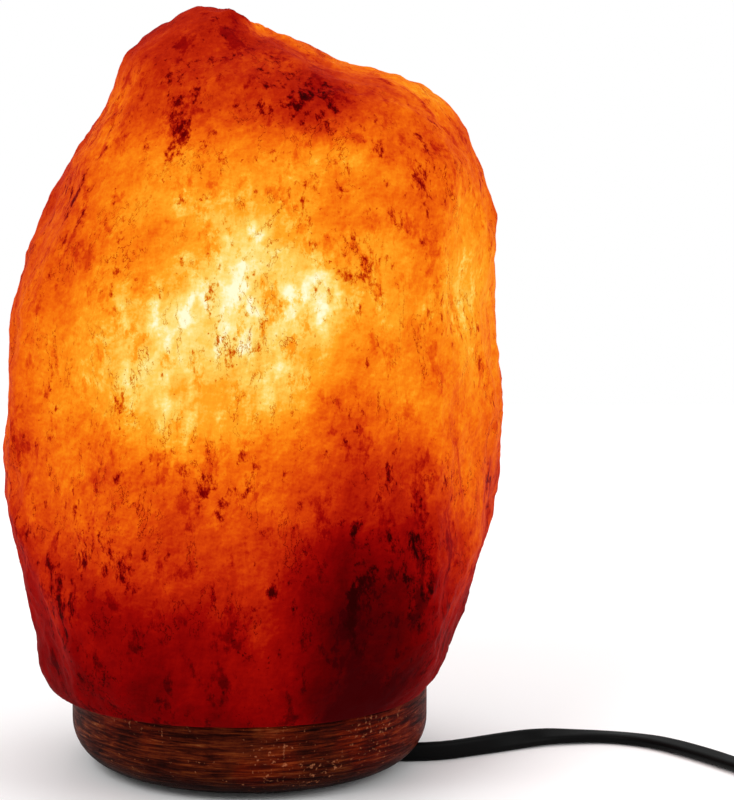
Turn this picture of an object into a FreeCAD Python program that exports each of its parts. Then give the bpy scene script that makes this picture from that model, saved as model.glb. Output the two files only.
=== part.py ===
"""Salt crystal lamp: a hewn rock salt crystal on a turned wooden base, lit from inside.

Millimetres, +Z up. The origin is on the table, on the axis of the turned base. -Y is the
front, and the cord leaves the base to the right, at +X.
"""

import FreeCAD, Part
import math
import os
import Sketcher
from FreeCAD import Placement, Rotation, Vector

os.makedirs("parts", exist_ok=True)
document = FreeCAD.newDocument("salt_crystal_lamp")

# ---------------------------------------------------------------------------------------
# Driving dimensions, kept in the sheet: millimetres, degrees and plain counts
# ---------------------------------------------------------------------------------------

DRIVING_SIZES = {
    # turned wooden base
    "base_diameter": 112,
    "base_thickness": 26.5,
    "base_lower_round": 13.3,
    "base_upper_round": 4,
    "base_bore_diameter": 44,
    "base_recess_diameter": 62,
    "base_recess_depth": 9,
    "pad_diameter": 8,
    "pad_thickness": 1.5,
    "pad_circle_radius": 37,
    "slot_azimuth": -5,
    "slot_width": 3.6,
    "slot_height": 7,
    # fixing of the crystal to the base
    "screw_circle_radius": 38,
    "screw_count": 3,
    "screw_shank_diameter": 4,
    "screw_head_diameter": 8,
    "screw_head_height": 2.6,
    "screw_reach": 13,
    "screw_hole_play": 0.15,
    "counterbore_diameter": 9,
    "counterbore_depth": 11,
    "anchor_diameter": 7,
    "anchor_length": 16,
    "anchor_play": 0.1,
    # salt crystal
    "crystal_width": 160,
    "crystal_depth": 140,
    "crystal_height": 212,
    "scar_count": 44,
    "cavity_diameter": 46,
    "cavity_depth": 140,
    # lamp holder
    "holder_height": 50,
    "holder_diameter": 21.6,
    "holder_wall": 1.6,
    "holder_cap_height": 10,
    "holder_shell_height": 32,
    "holder_lip_width": 1.8,
    "holder_edge": 1.5,
    "holder_mouth_play": 0.3,
    "core_height": 6,
    "core_play": 0.1,
    "socket_bore_diameter": 12.2,
    "socket_shell_wall": 0.5,
    "socket_shell_height": 18,
    "socket_flange_width": 1.6,
    "contact_height": 3,
    "contact_rim": 0.8,
    "terminal_spacing": 11,
    "terminal_head_diameter": 4.4,
    "terminal_shank_diameter": 2.6,
    "terminal_head_height": 2,
    "terminal_depth_margin": 1.5,
    "conductor_diameter": 1.6,
    "clip_strip_width": 9,
    "clip_strip_thickness": 0.6,
    "clip_band_height": 10,
    "clip_play": 0.1,
    "clip_root_drop": 6,
    "clip_rise": 3.5,
    "clip_crest": 5.5,
    "clip_wing_drop": 4,
    "clip_tail_drop": 9,
    # bulb with a candelabra screw cap
    "bulb_cap_diameter": 11.8,
    "bulb_cap_height": 14,
    "bulb_cap_wall": 0.35,
    "bulb_thread_pitch": 2.54,
    "bulb_thread_depth": 0.5,
    "bulb_tip_diameter": 3.8,
    "bulb_tip_height": 0.8,
    "bulb_insulator_height": 1.2,
    "bulb_glass_diameter": 26,
    "bulb_glass_wall": 0.8,
    "bulb_neck_play": 0.06,
    "bulb_globe_height": 52,
    "bulb_stem_height": 22,
    "bulb_lead_root_spread": 2.2,
    "bulb_lead_spread": 8,
    "bulb_lead_bend_start": 6,
    "bulb_lead_bend_end": 14,
    "bulb_lead_diameter": 0.7,
    "bulb_lead_length": 24,
    "filament_diameter": 0.4,
    "filament_gap": 0.02,
    # flat two-core cord
    "cord_width": 5.5,
    "cord_thickness": 2.8,
    "cord_joint_radius": 38,
    "cord_rise_radius": 14,
    "cord_twist_length": 17,
    "coil_radial_pitch": 3.4,
    "coil_layer_gap": 0.6,
    "coil_outer_radius": 35.5,
    "coil_inward_quarters": 13,
    "coil_outward_quarters": 14,
    "tie_thickness": 0.6,
    "tie_width": 4,
    "tie_play": 0.25,
    "tie_twist_length": 9,
    "tie_twist_diameter": 2,
    # in-line dimmer
    "dimmer_x": 261,
    "dimmer_y": -41.5,
    "dimmer_length": 62,
    "dimmer_width": 29,
    "dimmer_height": 21,
    "dimmer_wall": 2,
    "dimmer_corner": 7,
    "dimmer_lower_edge": 2.5,
    "dimmer_upper_edge": 3.5,
    "dimmer_entry_height": 7.2,
    "boot_length": 22,
    "boot_root_diameter": 11,
    "boot_end_diameter": 8,
    "boot_neck_diameter": 8.2,
    "boot_flange_thickness": 1.8,
    "boot_flange_width": 0.9,
    "boot_rib_count": 4,
    "boot_rib_width": 1,
    "boot_rib_depth": 0.7,
    "boot_play": 0.1,
    "board_thickness": 1.6,
    "board_lift": 1.2,
    "board_play": 0.5,
    "post_diameter": 3,
    "post_margin": 3,
    "wheel_diameter": 24,
    "wheel_thickness": 5,
    "wheel_offset_x": -8,
    "wheel_proud": 3,
    "wheel_play": 0.5,
    "wheel_gap": 0.3,
    "wheel_edge": 0.8,
    "wheel_notch_count": 24,
    "wheel_notch_diameter": 1.6,
    "spindle_diameter": 3,
    "spindle_play": 0.05,
    "spindle_gap": 0.3,
    "spindle_edge": 0.4,
    "potentiometer_diameter": 13,
    "potentiometer_height": 2.9,
    "potentiometer_rim": 0.8,
    "capacitor_length": 11,
    "capacitor_width": 6,
    "capacitor_height": 10,
    "choke_ring_radius": 4.2,
    "choke_winding_radius": 2.2,
    "triac_width": 7,
    "triac_thickness": 3,
    "triac_height": 7,
    "triac_tab_thickness": 0.8,
    "triac_tab_height": 10,
    "terminal_diameter": 1.6,
    "terminal_gap": 0.2,
    "wire_play": 0.05,
    "component_play": 0.8,
    "board_margin": 1.5,
    "boss_diameter": 6,
    "boss_circle_radius": 26.4,
    "boss_azimuth": 19,
    "dimmer_screw_diameter": 2.4,
    "dimmer_screw_head": 4.6,
    "dimmer_screw_head_height": 1.5,
    "dimmer_screw_play": 0.2,
    "dimmer_screw_margin": 3,
    # two-blade plug
    "plug_width": 24,
    "plug_thickness": 16.5,
    "plug_grip_length": 22,
    "plug_shoulder_length": 8,
    "plug_relief_length": 20,
    "plug_relief_width": 8.4,
    "plug_relief_end": 6.6,
    "plug_edge": 1.5,
    "blade_length": 17,
    "blade_thickness": 1.5,
    "blade_spacing": 12.7,
    "blade_width_narrow": 6.35,
    "blade_width_wide": 7.9,
    "blade_root": 10,
    "blade_edge": 0.6,
    "blade_hole_diameter": 3,
    "blade_hole_reach": 12,
    "cord_lead_to_plug": 40,
}

sheet = document.addObject("Spreadsheet::Sheet", "sizes")
for row, (alias, amount) in enumerate(DRIVING_SIZES.items(), start=1):
    sheet.set("A%d" % row, alias)
    sheet.set("B%d" % row, str(amount))
    sheet.setAlias("B%d" % row, alias)
document.recompute()


class Size:
    """A size that carries its number and the sheet formula that it comes from."""

    def __init__(self, number, formula):
        self.number = float(number)
        self.formula = formula

    def __add__(self, other):
        other = as_size(other)
        return Size(self.number + other.number, "(%s + %s)" % (self.formula, other.formula))

    def __sub__(self, other):
        other = as_size(other)
        return Size(self.number - other.number, "(%s - %s)" % (self.formula, other.formula))

    def __mul__(self, other):
        other = as_size(other)
        return Size(self.number * other.number, "(%s * %s)" % (self.formula, other.formula))

    def __truediv__(self, other):
        other = as_size(other)
        return Size(self.number / other.number, "(%s / %s)" % (self.formula, other.formula))

    def __neg__(self):
        return self * -1

    def root(self):
        """The square root."""
        return Size(math.sqrt(self.number), "sqrt(%s)" % self.formula)

    def __float__(self):
        return self.number


def as_size(value):
    """A Size as it is, or a plain number made into one."""
    if isinstance(value, Size):
        return value
    return Size(value, "(%r)" % float(value))


def size(alias):
    """The driving dimension with this alias, read from the sheet."""
    return Size(getattr(sheet, alias), "sizes." + alias)


ZERO = as_size(0)

# ---------------------------------------------------------------------------------------
# Helpers: sketches, features and primitives whose sizes are bound to the sheet
# ---------------------------------------------------------------------------------------


def bind(thing, prop, value):
    """Set a property of a document object from a Size, now and by formula."""
    thing.setExpression(prop, as_size(value).formula)


def put(thing, x=ZERO, y=ZERO, z=ZERO, turn_axis=None, turn=ZERO):
    """Place a document object, with its position tied to the sheet."""
    x, y, z, turn = (as_size(value) for value in (x, y, z, turn))
    axis = turn_axis or Vector(0, 0, 1)
    thing.Placement = Placement(Vector(x.number, y.number, z.number), Rotation(axis, turn.number))
    for prop, value in (("x", x), ("y", y), ("z", z)):
        bind(thing, "Placement.Base." + prop, value)
    if turn.number:
        bind(thing, "Placement.Rotation.Angle", turn)
    return thing


def new_body(label):
    """An empty body, which is one sub-part."""
    body = document.addObject("PartDesign::Body", label)
    body.Label = label
    return body


def origin_feature(body, role):
    """The body's own origin plane or axis with this role."""
    return next(item for item in body.Origin.OriginFeatures if item.Role == role)


def new_sketch(body, plane, lift=ZERO, turn=ZERO, shift=ZERO, rise=ZERO):
    """A sketch on an origin plane: lifted off it, turned in it, shifted along its x and y."""
    sketch = body.newObject("Sketcher::SketchObject", body.Label + "_sketch")
    sketch.AttachmentSupport = (origin_feature(body, plane), "")
    sketch.MapMode = "FlatFace"
    turn = as_size(turn)
    sketch.AttachmentOffset = Placement(Vector(0, 0, 0), Rotation(Vector(0, 0, 1), turn.number))
    bind(sketch, "AttachmentOffset.Base.x", shift)
    bind(sketch, "AttachmentOffset.Base.y", rise)
    bind(sketch, "AttachmentOffset.Base.z", lift)
    if turn.number:
        bind(sketch, "AttachmentOffset.Rotation.Angle", turn)
    return sketch


def fix_point(sketch, geometry, point, x, y, which="xy"):
    """Hold one point of a sketch at the formulas of its two coordinates."""
    if "x" in which:
        held = sketch.addConstraint(
            Sketcher.Constraint("DistanceX", -1, 1, geometry, point, x.number))
        sketch.setExpression("Constraints[%d]" % held, x.formula)
    if "y" in which:
        held = sketch.addConstraint(
            Sketcher.Constraint("DistanceY", -1, 1, geometry, point, y.number))
        sketch.setExpression("Constraints[%d]" % held, y.formula)


def draw_outline(sketch, corners):
    """A closed outline. A corner is (x, y), or (x, y, cx, cy) at the end of an arc about
    (cx, cy) that runs counter-clockwise from the corner before."""
    corners = [tuple(as_size(value) for value in corner) for corner in corners]
    first = sketch.GeometryCount
    for index, corner in enumerate(corners):
        before = corners[index - 1]
        start = Vector(before[0].number, before[1].number, 0)
        end = Vector(corner[0].number, corner[1].number, 0)
        if len(corner) == 2:
            sketch.addGeometry(Part.LineSegment(start, end), False)
            continue
        centre = Vector(corner[2].number, corner[3].number, 0)
        angles = [math.atan2(p.y - centre.y, p.x - centre.x) for p in (start, end)]
        circle = Part.Circle(centre, Vector(0, 0, 1), start.distanceToPoint(centre))
        sketch.addGeometry(Part.ArcOfCircle(circle, angles[0], angles[1]), False)
    for index, corner in enumerate(corners):
        edge = first + index
        following = first + (index + 1) % len(corners)
        sketch.addConstraint(Sketcher.Constraint("Coincident", edge, 2, following, 1))
        fix_point(sketch, edge, 2, corner[0], corner[1])
        if len(corner) == 4:
            before = corners[index - 1]
            steep = abs((corner[1] - before[1]).number) >= abs((corner[0] - before[0]).number)
            fix_point(sketch, edge, 3, corner[2], corner[3], "x" if steep else "y")
    return sketch


def draw_circle(sketch, radius, x=ZERO, y=ZERO):
    """A full circle whose centre and radius are bound to the sheet."""
    x, y, radius = as_size(x), as_size(y), as_size(radius)
    circle = Part.Circle(Vector(x.number, y.number, 0), Vector(0, 0, 1), radius.number)
    geometry = sketch.addGeometry(circle, False)
    fix_point(sketch, geometry, 3, x, y)
    held = sketch.addConstraint(Sketcher.Constraint("Radius", geometry, radius.number))
    sketch.setExpression("Constraints[%d]" % held, radius.formula)
    return sketch


def rectangle(length, width, x=ZERO, y=ZERO):
    """Corners of a plain rectangle about (x, y)."""
    x, y = as_size(x), as_size(y)
    right, back = as_size(length) / 2, as_size(width) / 2
    return [(x - right, y - back), (x + right, y - back), (x + right, y + back), (x - right, y + back)]


def rounded_rectangle(length, width, radius):
    """Corners of a rectangle about the origin with round corners."""
    right, back, radius = as_size(length) / 2, as_size(width) / 2, as_size(radius)
    inner_x, inner_y = right - radius, back - radius
    return [
        (inner_x, -back),
        (right, -inner_y, inner_x, -inner_y),
        (right, inner_y),
        (inner_x, back, inner_x, inner_y),
        (-inner_x, back),
        (-right, inner_y, -inner_x, inner_y),
        (-right, -inner_y),
        (-inner_x, -back, -inner_x, -inner_y),
    ]


def feature(body, kind, sketch, **bound):
    """A sketch based feature of a body, with its numeric properties bound."""
    made = body.newObject("PartDesign::" + kind, body.Label + "_" + kind.lower())
    made.Profile = sketch
    for prop, value in bound.items():
        bind(made, prop, value)
    return made


def pad(body, sketch, height):
    """Material of this height on the sketch, along its normal."""
    return feature(body, "Pad", sketch, Length=height)


def pocket(body, sketch, depth):
    """A recess of this depth, cut from the sketch along its normal, upwards on a flat."""
    document.recompute()
    before = body.Shape.Volume
    made = feature(body, "Pocket", sketch, Length=depth)
    made.Reversed = True
    document.recompute()
    if body.Shape.Volume > before - 1e-6:
        raise RuntimeError(body.Label + ": a recess cuts nothing")
    return made


def revolve(body, corners, turn=ZERO, shift=ZERO, kind="Revolution"):
    """A turned form, or a turned groove: the outline is (radius, height) from its axis."""
    sketch = draw_outline(new_sketch(body, "XZ_Plane", shift=shift), corners)
    made = body.newObject("PartDesign::" + kind, body.Label + "_" + kind.lower())
    made.Profile = sketch
    made.ReferenceAxis = (sketch, ["V_Axis"])
    made.Angle = 360
    return made


def turned(label, corners):
    """A sub-part that is one turned form about the Z axis."""
    body = new_body(label)
    revolve(body, corners)
    return body


def ring_pattern(body, features, count):
    """Repeat features evenly about the body's Z axis."""
    pattern = body.newObject("PartDesign::PolarPattern", body.Label + "_pattern")
    pattern.Originals = features
    pattern.Axis = (origin_feature(body, "Z_Axis"), [""])
    pattern.Angle = 360
    bind(pattern, "Occurrences", count)
    body.Tip = pattern
    return pattern


def round_edges(body, radius, wanted):
    """A fillet on the edges of the body for which wanted(edge) holds."""
    document.recompute()
    names = ["Edge%d" % (n + 1) for n, edge in enumerate(body.Shape.Edges) if wanted(edge)]
    if not names:
        raise RuntimeError(body.Label + ": no edge to round")
    before = body.Tip
    made = body.newObject("PartDesign::Fillet", body.Label + "_round")
    made.Base = (before, names)
    bind(made, "Radius", radius)
    return made


def level(edge, height):
    """True for an edge that lies all in the plane at this height."""
    box = edge.BoundBox
    return abs(box.ZMin - float(height)) < 1e-4 and abs(box.ZMax - float(height)) < 1e-4


def is_circle(edge, radius):
    """True for a circle or arc of this radius."""
    return hasattr(edge.Curve, "Radius") and abs(edge.Curve.Radius - float(radius)) < 1e-4


def upright(edge):
    """True for a straight edge that runs along Z."""
    box = edge.BoundBox
    return box.ZLength > 1e-3 and box.XLength < 1e-4 and box.YLength < 1e-4


def primitive(kind, name, place=(ZERO, ZERO, ZERO), **bound):
    """A Part primitive with bound sizes, at a bound place."""
    made = document.addObject("Part::" + kind, name)
    for prop, value in bound.items():
        bind(made, prop, value)
    return put(made, *place)


def fused(name, pieces):
    """Several solids joined into one."""
    made = document.addObject("Part::MultiFuse", name)
    made.Shapes = pieces
    return made


def cut(name, base, tool):
    """One solid less another."""
    made = document.addObject("Part::Cut", name)
    made.Base = base
    made.Tool = tool
    return made


def from_shape(label, shape):
    """A sub-part from a shape that sketches and primitives don't give."""
    made = document.addObject("Part::Feature", label)
    made.Label = label
    made.Shape = shape
    made.Placement = shape.Placement
    return made


def labelled(made, label):
    """Name a sub-part."""
    made.Label = label
    return made


def polar(radius, azimuth, z=0.0):
    """A point from its distance and direction from the Z axis."""
    angle = math.radians(azimuth)
    return Vector(radius * math.cos(angle), radius * math.sin(angle), z)


# ---------------------------------------------------------------------------------------
# Heights of the stack, worked out from the driving dimensions
# ---------------------------------------------------------------------------------------

base_bottom = size("pad_thickness")
base_top = base_bottom + size("base_thickness")
recess_top = base_bottom + size("base_recess_depth")
seat_height = base_bottom + size("counterbore_depth")
shell_bottom = size("holder_height") + size("holder_cap_height")
core_bottom = shell_bottom + 1
core_top = core_bottom + size("core_height")
tip_bottom = core_top + size("contact_height")
insulator_bottom = tip_bottom + size("bulb_tip_height")
cap_bottom = insulator_bottom + size("bulb_insulator_height")
cap_top = cap_bottom + size("bulb_cap_height")
globe_centre = tip_bottom + size("bulb_globe_height")

# ---------------------------------------------------------------------------------------
# Wooden base, its pads and the fixing of the crystal
# ---------------------------------------------------------------------------------------

SCREW_TURN_FROM_SLOT = 60
PAD_TURN_FROM_SLOT = 45
PAD_COUNT = 4


def make_wooden_base():
    """A disc turned on the lathe: a bullnose edge, a bore for the lamp holder and, below,
    a recess with a slot for the cord and counterbored holes for the crystal's screws."""
    body = new_body("wooden_base")
    radius, bore = size("base_diameter") / 2, size("base_bore_diameter") / 2
    recess = size("base_recess_diameter") / 2
    low, high = size("base_lower_round"), size("base_upper_round")
    revolve(body, [
        (recess, base_bottom),
        (radius - low, base_bottom),
        (radius, base_bottom + low, radius - low, base_bottom + low),
        (radius, base_top - high),
        (radius - high, base_top, radius - high, base_top - high),
        (bore, base_top),
        (bore, recess_top),
        (recess, recess_top),
    ])
    slot = new_sketch(body, "XY_Plane", lift=base_bottom, turn=size("slot_azimuth"))
    draw_outline(slot, rectangle(radius, size("slot_width"), x=recess + radius / 2 - 4))
    pocket(body, slot, size("slot_height"))
    around = size("slot_azimuth") + SCREW_TURN_FROM_SLOT
    hole = new_sketch(body, "XY_Plane", lift=base_bottom, turn=around)
    draw_circle(hole, size("screw_shank_diameter") / 2 + size("screw_hole_play"),
                x=size("screw_circle_radius"))
    through = pocket(body, hole, size("base_thickness"))
    wide = new_sketch(body, "XY_Plane", lift=base_bottom, turn=around)
    draw_circle(wide, size("counterbore_diameter") / 2, x=size("screw_circle_radius"))
    counterbore = pocket(body, wide, size("counterbore_depth"))
    ring_pattern(body, [through, counterbore], size("screw_count"))
    return body


def make_base_pads():
    """Stick-on rubber pads that keep the wood off the table."""
    body = new_body("base_pads")
    sketch = new_sketch(body, "XY_Plane", turn=size("slot_azimuth") + PAD_TURN_FROM_SLOT)
    draw_circle(sketch, size("pad_diameter") / 2, x=size("pad_circle_radius"))
    ring_pattern(body, [pad(body, sketch, size("pad_thickness"))], as_size(PAD_COUNT))
    return body


def make_base_screws():
    """Round-head screws, up through the base into the crystal's anchors."""
    body = new_body("base_screws")
    shank, head = size("screw_shank_diameter") / 2, size("screw_head_diameter") / 2
    head_round = size("screw_head_height") * 0.6
    head_bottom = seat_height - size("screw_head_height")
    made = revolve(body, [
        (ZERO, head_bottom),
        (head - head_round, head_bottom),
        (head, head_bottom + head_round, head - head_round, head_bottom + head_round),
        (head, seat_height),
        (shank, seat_height),
        (shank, base_top + size("screw_reach") - shank),
        (ZERO, base_top + size("screw_reach")),
    ], shift=size("screw_circle_radius"))
    ring_pattern(body, [made], size("screw_count"))
    put(body, turn=size("slot_azimuth") + SCREW_TURN_FROM_SLOT)
    return body


def make_salt_anchors():
    """Plastic sleeves set in holes drilled into the crystal's flat foot."""
    body = new_body("salt_anchors")
    inner = size("screw_shank_diameter") / 2 + size("screw_hole_play") / 3
    made = revolve(body, [
        (inner, base_top),
        (size("anchor_diameter") / 2, base_top),
        (size("anchor_diameter") / 2, base_top + size("anchor_length")),
        (inner, base_top + size("anchor_length")),
    ], shift=size("screw_circle_radius"))
    ring_pattern(body, [made], size("screw_count"))
    put(body, turn=size("slot_azimuth") + SCREW_TURN_FROM_SLOT)
    return body


# ---------------------------------------------------------------------------------------
# Salt crystal
# ---------------------------------------------------------------------------------------

# Rough outline of the hewn block, from its sawn foot to just past its peak. Height is a share
# of the crystal's height; left, right, front and back are shares of half its width or depth.
CRYSTAL_SECTIONS = [
    # height, left, right, front, back, squareness
    (0.000, 0.78, 0.71, 0.94, 0.76, 0.72),
    (0.060, 0.85, 0.83, 1.00, 0.82, 0.75),
    (0.140, 0.875, 0.90, 1.02, 0.88, 0.78),
    (0.240, 0.94, 0.950, 1.02, 0.93, 0.79),
    (0.340, 0.970, 0.970, 1.00, 0.97, 0.80),
    (0.420, 0.950, 0.980, 0.98, 0.99, 0.79),
    (0.530, 0.93, 0.950, 0.94, 0.99, 0.79),
    (0.630, 0.855, 0.96, 0.88, 0.96, 0.78),
    (0.700, 0.78, 0.950, 0.82, 0.91, 0.77),
    (0.780, 0.665, 0.880, 0.74, 0.84, 0.77),
    (0.860, 0.535, 0.73, 0.62, 0.71, 0.76),
    (0.915, 0.480, 0.39, 0.48, 0.54, 0.74),
    (0.960, 0.365, 0.07, 0.30, 0.32, 0.72),
    (1.012, 0.185, -0.145, 0.10, 0.02, 0.71),
]

# Cleavage faces that the blows left, each a flat cut. A cut faces its azimuth (0 is +X, 90
# is the back, -90 the front) and leans back by its tilt. The point that it passes through
# is (x, y) as shares of half the width and depth and z as a share of the height.
CLEAVAGE_CUTS = {
    "broad right face": (-24, 3, (0.862, -0.386, 0.42)),
    "right shoulder": (-12, 30, (0.84, -0.20, 0.80)),
    "right foot": (-14, -15, (0.875, -0.20, 0.14)),
    "left shoulder": (196, 26, (-0.745, -0.10, 0.72)),
    "left foot": (208, -13, (-0.88, -0.38, 0.14)),
    "left front face": (226, 5, (-0.74, -0.66, 0.40)),
    "front face": (268, 9, (0.05, -0.90, 0.56)),
    "front shoulder": (262, 32, (-0.10, -0.70, 0.80)),
    "right front edge": (-52, 7, (0.60, -0.86, 0.36)),
    "top strip": (60, 58, (0.25, 0.12, 0.93)),
    "back face": (94, 8, (0.00, 0.93, 0.55)),
    "back left face": (140, 10, (-0.66, 0.66, 0.50)),
    "back right face": (38, 9, (0.72, 0.66, 0.48)),
    "back shoulder": (98, 38, (-0.10, 0.66, 0.82)),
    "peak": (0, 90, (0.00, 0.00, 1.00)),
}
STOCK_TO_CUT = 400.0

# Shallow scars where a blow lifted a shell of salt: radius and depth of the hollows, used in
# turn. The blows climb the block in a spiral by the golden angle, so they lie irregularly.
SCAR_SIZES = [(34, 1.7), (52, 1.5), (28, 1.9), (60, 1.3), (40, 1.8)]
SCAR_TURN = 137.508
SCAR_LOWEST, SCAR_HIGHEST = 0.09, 0.94
SCAR_FROM = 130.0
CAP_LATITUDE = 62


def crystal_section(share, left, right, front, back, squareness, width, depth, height):
    """One closed section of the block: eight points, joined by a smooth curve."""
    x_right, x_left = right * width / 2, -left * width / 2
    y_front, y_back = -front * depth / 2, back * depth / 2
    x_mid, y_mid = (x_right + x_left) / 2, (y_front + y_back) / 2
    across = {"right": x_right - x_mid, "left": x_left - x_mid}
    along = {"front": y_front - y_mid, "back": y_back - y_mid}
    z = float(base_top) + share * height
    points = [
        Vector(x_right, y_mid, z),
        Vector(x_mid + across["right"] * squareness, y_mid + along["back"] * squareness, z),
        Vector(x_mid, y_back, z),
        Vector(x_mid + across["left"] * squareness, y_mid + along["back"] * squareness, z),
        Vector(x_left, y_mid, z),
        Vector(x_mid + across["left"] * squareness, y_mid + along["front"] * squareness, z),
        Vector(x_mid, y_front, z),
        Vector(x_mid + across["right"] * squareness, y_mid + along["front"] * squareness, z),
    ]
    curve = Part.BSplineCurve()
    curve.interpolate(points, PeriodicFlag=True)
    return Part.Wire([curve.toShape()])


def scars(block, height):
    """The ball caps that cut the scars, each sunk into the place nearest to its blow."""
    caps = []
    count = int(float(size("scar_count")))
    for index in range(count):
        radius, depth = SCAR_SIZES[index % len(SCAR_SIZES)]
        share = SCAR_LOWEST + (SCAR_HIGHEST - SCAR_LOWEST) * (index + 0.5) / count
        blow = polar(SCAR_FROM, index * SCAR_TURN, float(base_top) + share * height)
        _, ((struck, _), *_), _ = block.distToShape(Part.Vertex(blow))
        inward = (struck - blow).normalize()
        centre = struck - inward * (radius - depth)
        caps.append(Part.makeSphere(radius, centre, inward, CAP_LATITUDE, 90, 360))
    return caps


def make_salt_crystal():
    """The hewn crystal: a smooth block, struck flat along its cleavage, scarred by small
    blows, sawn flat below, with a domed bore for the bulb and blind holes for the anchors."""
    width, depth, height = (float(size("crystal_" + way)) for way in ("width", "depth", "height"))
    sections = [crystal_section(*row, width, depth, height) for row in CRYSTAL_SECTIONS]
    block = Part.makeLoft(sections, True, False)
    for azimuth, tilt, (x_share, y_share, z_share) in CLEAVAGE_CUTS.values():
        normal = polar(math.cos(math.radians(tilt)), azimuth, math.sin(math.radians(tilt)))
        point = Vector(x_share * width / 2, y_share * depth / 2,
                       float(base_top) + z_share * height)
        waste = Part.makeBox(STOCK_TO_CUT, STOCK_TO_CUT, STOCK_TO_CUT)
        waste.translate(Vector(-STOCK_TO_CUT / 2, -STOCK_TO_CUT / 2, 0))
        waste.Placement = Placement(point, Rotation(Vector(0, 0, 1), normal)) * waste.Placement
        block = block.cut(waste)
    block = max(block.Solids, key=lambda solid: solid.Volume)
    block = block.cut(scars(block, height))
    stock = from_shape("crystal_block", max(block.Solids, key=lambda solid: solid.Volume))
    bore = size("cavity_diameter") / 2
    below = as_size(1)
    cavity = primitive("Cylinder", "cavity_bore", (ZERO, ZERO, base_top - below), Radius=bore,
                       Height=size("cavity_depth") - bore + below)
    dome = primitive("Sphere", "cavity_dome", (ZERO, ZERO, base_top + size("cavity_depth") - bore),
                     Radius=bore)
    tools = [cavity, dome]
    for index in range(int(float(size("screw_count")))):
        azimuth = float(size("slot_azimuth")) + SCREW_TURN_FROM_SLOT
        azimuth += 360.0 * index / float(size("screw_count"))
        hole = document.addObject("Part::Cylinder", "anchor_hole_%d" % index)
        bind(hole, "Radius", size("anchor_diameter") / 2 + size("anchor_play"))
        bind(hole, "Height", size("anchor_length") + size("anchor_play") + below)
        hole.Placement = Placement(
            polar(float(size("screw_circle_radius")), azimuth, float(base_top - below)), Rotation())
        tools.append(hole)
    return labelled(cut("salt_crystal", stock, fused("crystal_drilling", tools)), "salt_crystal")


# ---------------------------------------------------------------------------------------
# Lamp holder: cap, shell, insulating core, contacts and spring clips
# ---------------------------------------------------------------------------------------

holder_radius = size("holder_diameter") / 2
holder_inner = holder_radius - size("holder_wall")


def make_holder_cap():
    """The cup that closes the holder below, with a round mouth for the cord."""
    bottom = size("holder_height")
    mouth = size("cord_width") / 2 + size("holder_mouth_play")
    edge = size("holder_edge")
    return turned("holder_cap", [
        (mouth, bottom),
        (holder_radius - edge, bottom),
        (holder_radius, bottom + edge, holder_radius - edge, bottom + edge),
        (holder_radius, shell_bottom),
        (holder_inner, shell_bottom),
        (holder_inner, bottom + size("holder_wall")),
        (mouth, bottom + size("holder_wall")),
    ])


def make_holder_shell():
    """The insulating sleeve round the screw shell, with a lip that keeps fingers off it."""
    top = shell_bottom + size("holder_shell_height")
    lip = holder_inner - size("holder_lip_width")
    return turned("holder_shell", [
        (holder_inner, shell_bottom),
        (holder_radius, shell_bottom),
        (holder_radius, top),
        (lip, top),
        (lip, top - size("holder_wall")),
        (holder_inner, top - size("holder_wall")),
    ])


def make_holder_core():
    """The insulating disc that carries the contacts."""
    body = turned("holder_core", [
        (size("terminal_shank_diameter") / 2 + size("core_play"), core_bottom),
        (holder_inner - size("core_play"), core_bottom),
        (holder_inner - size("core_play"), core_top),
        (size("terminal_shank_diameter") / 2 + size("core_play"), core_top),
    ])
    sketch = new_sketch(body, "XY_Plane", lift=core_bottom)
    radius = size("terminal_shank_diameter") / 2 + size("core_play")
    for side in (-1, 1):
        draw_circle(sketch, radius, x=size("terminal_spacing") * side / 2)
    pocket(body, sketch, size("core_height") - 1)
    return body


def make_screw_shell():
    """The threaded brass shell that takes the bulb's cap, with a flange on the core."""
    inner = size("socket_bore_diameter") / 2
    outer = inner + size("socket_shell_wall")
    flange = outer + size("socket_flange_width")
    top = core_top + size("socket_shell_height")
    return turned("screw_shell", [
        (inner, core_top),
        (flange, core_top),
        (flange, core_top + size("socket_shell_wall")),
        (outer, core_top + size("socket_shell_wall")),
        (outer, top),
        (inner, top),
    ])


# Radius of the contact's dome as a share of the bulb tip's diameter.
CONTACT_SHARE = 0.8


def make_centre_contact():
    """The brass contact under the bulb's tip: a rivet through the core and a sprung dome."""
    rivet = size("terminal_shank_diameter") / 2
    rim = size("contact_rim")
    dome = size("bulb_tip_diameter") * CONTACT_SHARE
    return turned("centre_contact", [
        (ZERO, core_bottom - rim),
        (rivet + rim, core_bottom - rim),
        (rivet + rim, core_bottom),
        (rivet, core_bottom),
        (rivet, core_top),
        (dome, core_top),
        (dome, core_top + size("contact_height") / 3),
        (rivet, tip_bottom),
        (ZERO, tip_bottom),
    ])


def make_terminal_screws():
    """Two screws under the core that hold the cord's conductors."""
    body = new_body("terminal_screws")
    shank, head = size("terminal_shank_diameter") / 2, size("terminal_head_diameter") / 2
    bottom = core_bottom - size("terminal_head_height")
    made = revolve(body, [
        (ZERO, bottom),
        (head, bottom),
        (head, core_bottom),
        (shank, core_bottom),
        (shank, core_top - size("terminal_depth_margin")),
        (ZERO, core_top - size("terminal_depth_margin")),
    ], shift=size("terminal_spacing") / 2)
    ring_pattern(body, [made], as_size(2))
    return body


# ---------------------------------------------------------------------------------------
# Bent forms: a path of straight runs joined by tangent arcs, and what is swept along it
# ---------------------------------------------------------------------------------------

ARC_SHARE = 0.45


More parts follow.
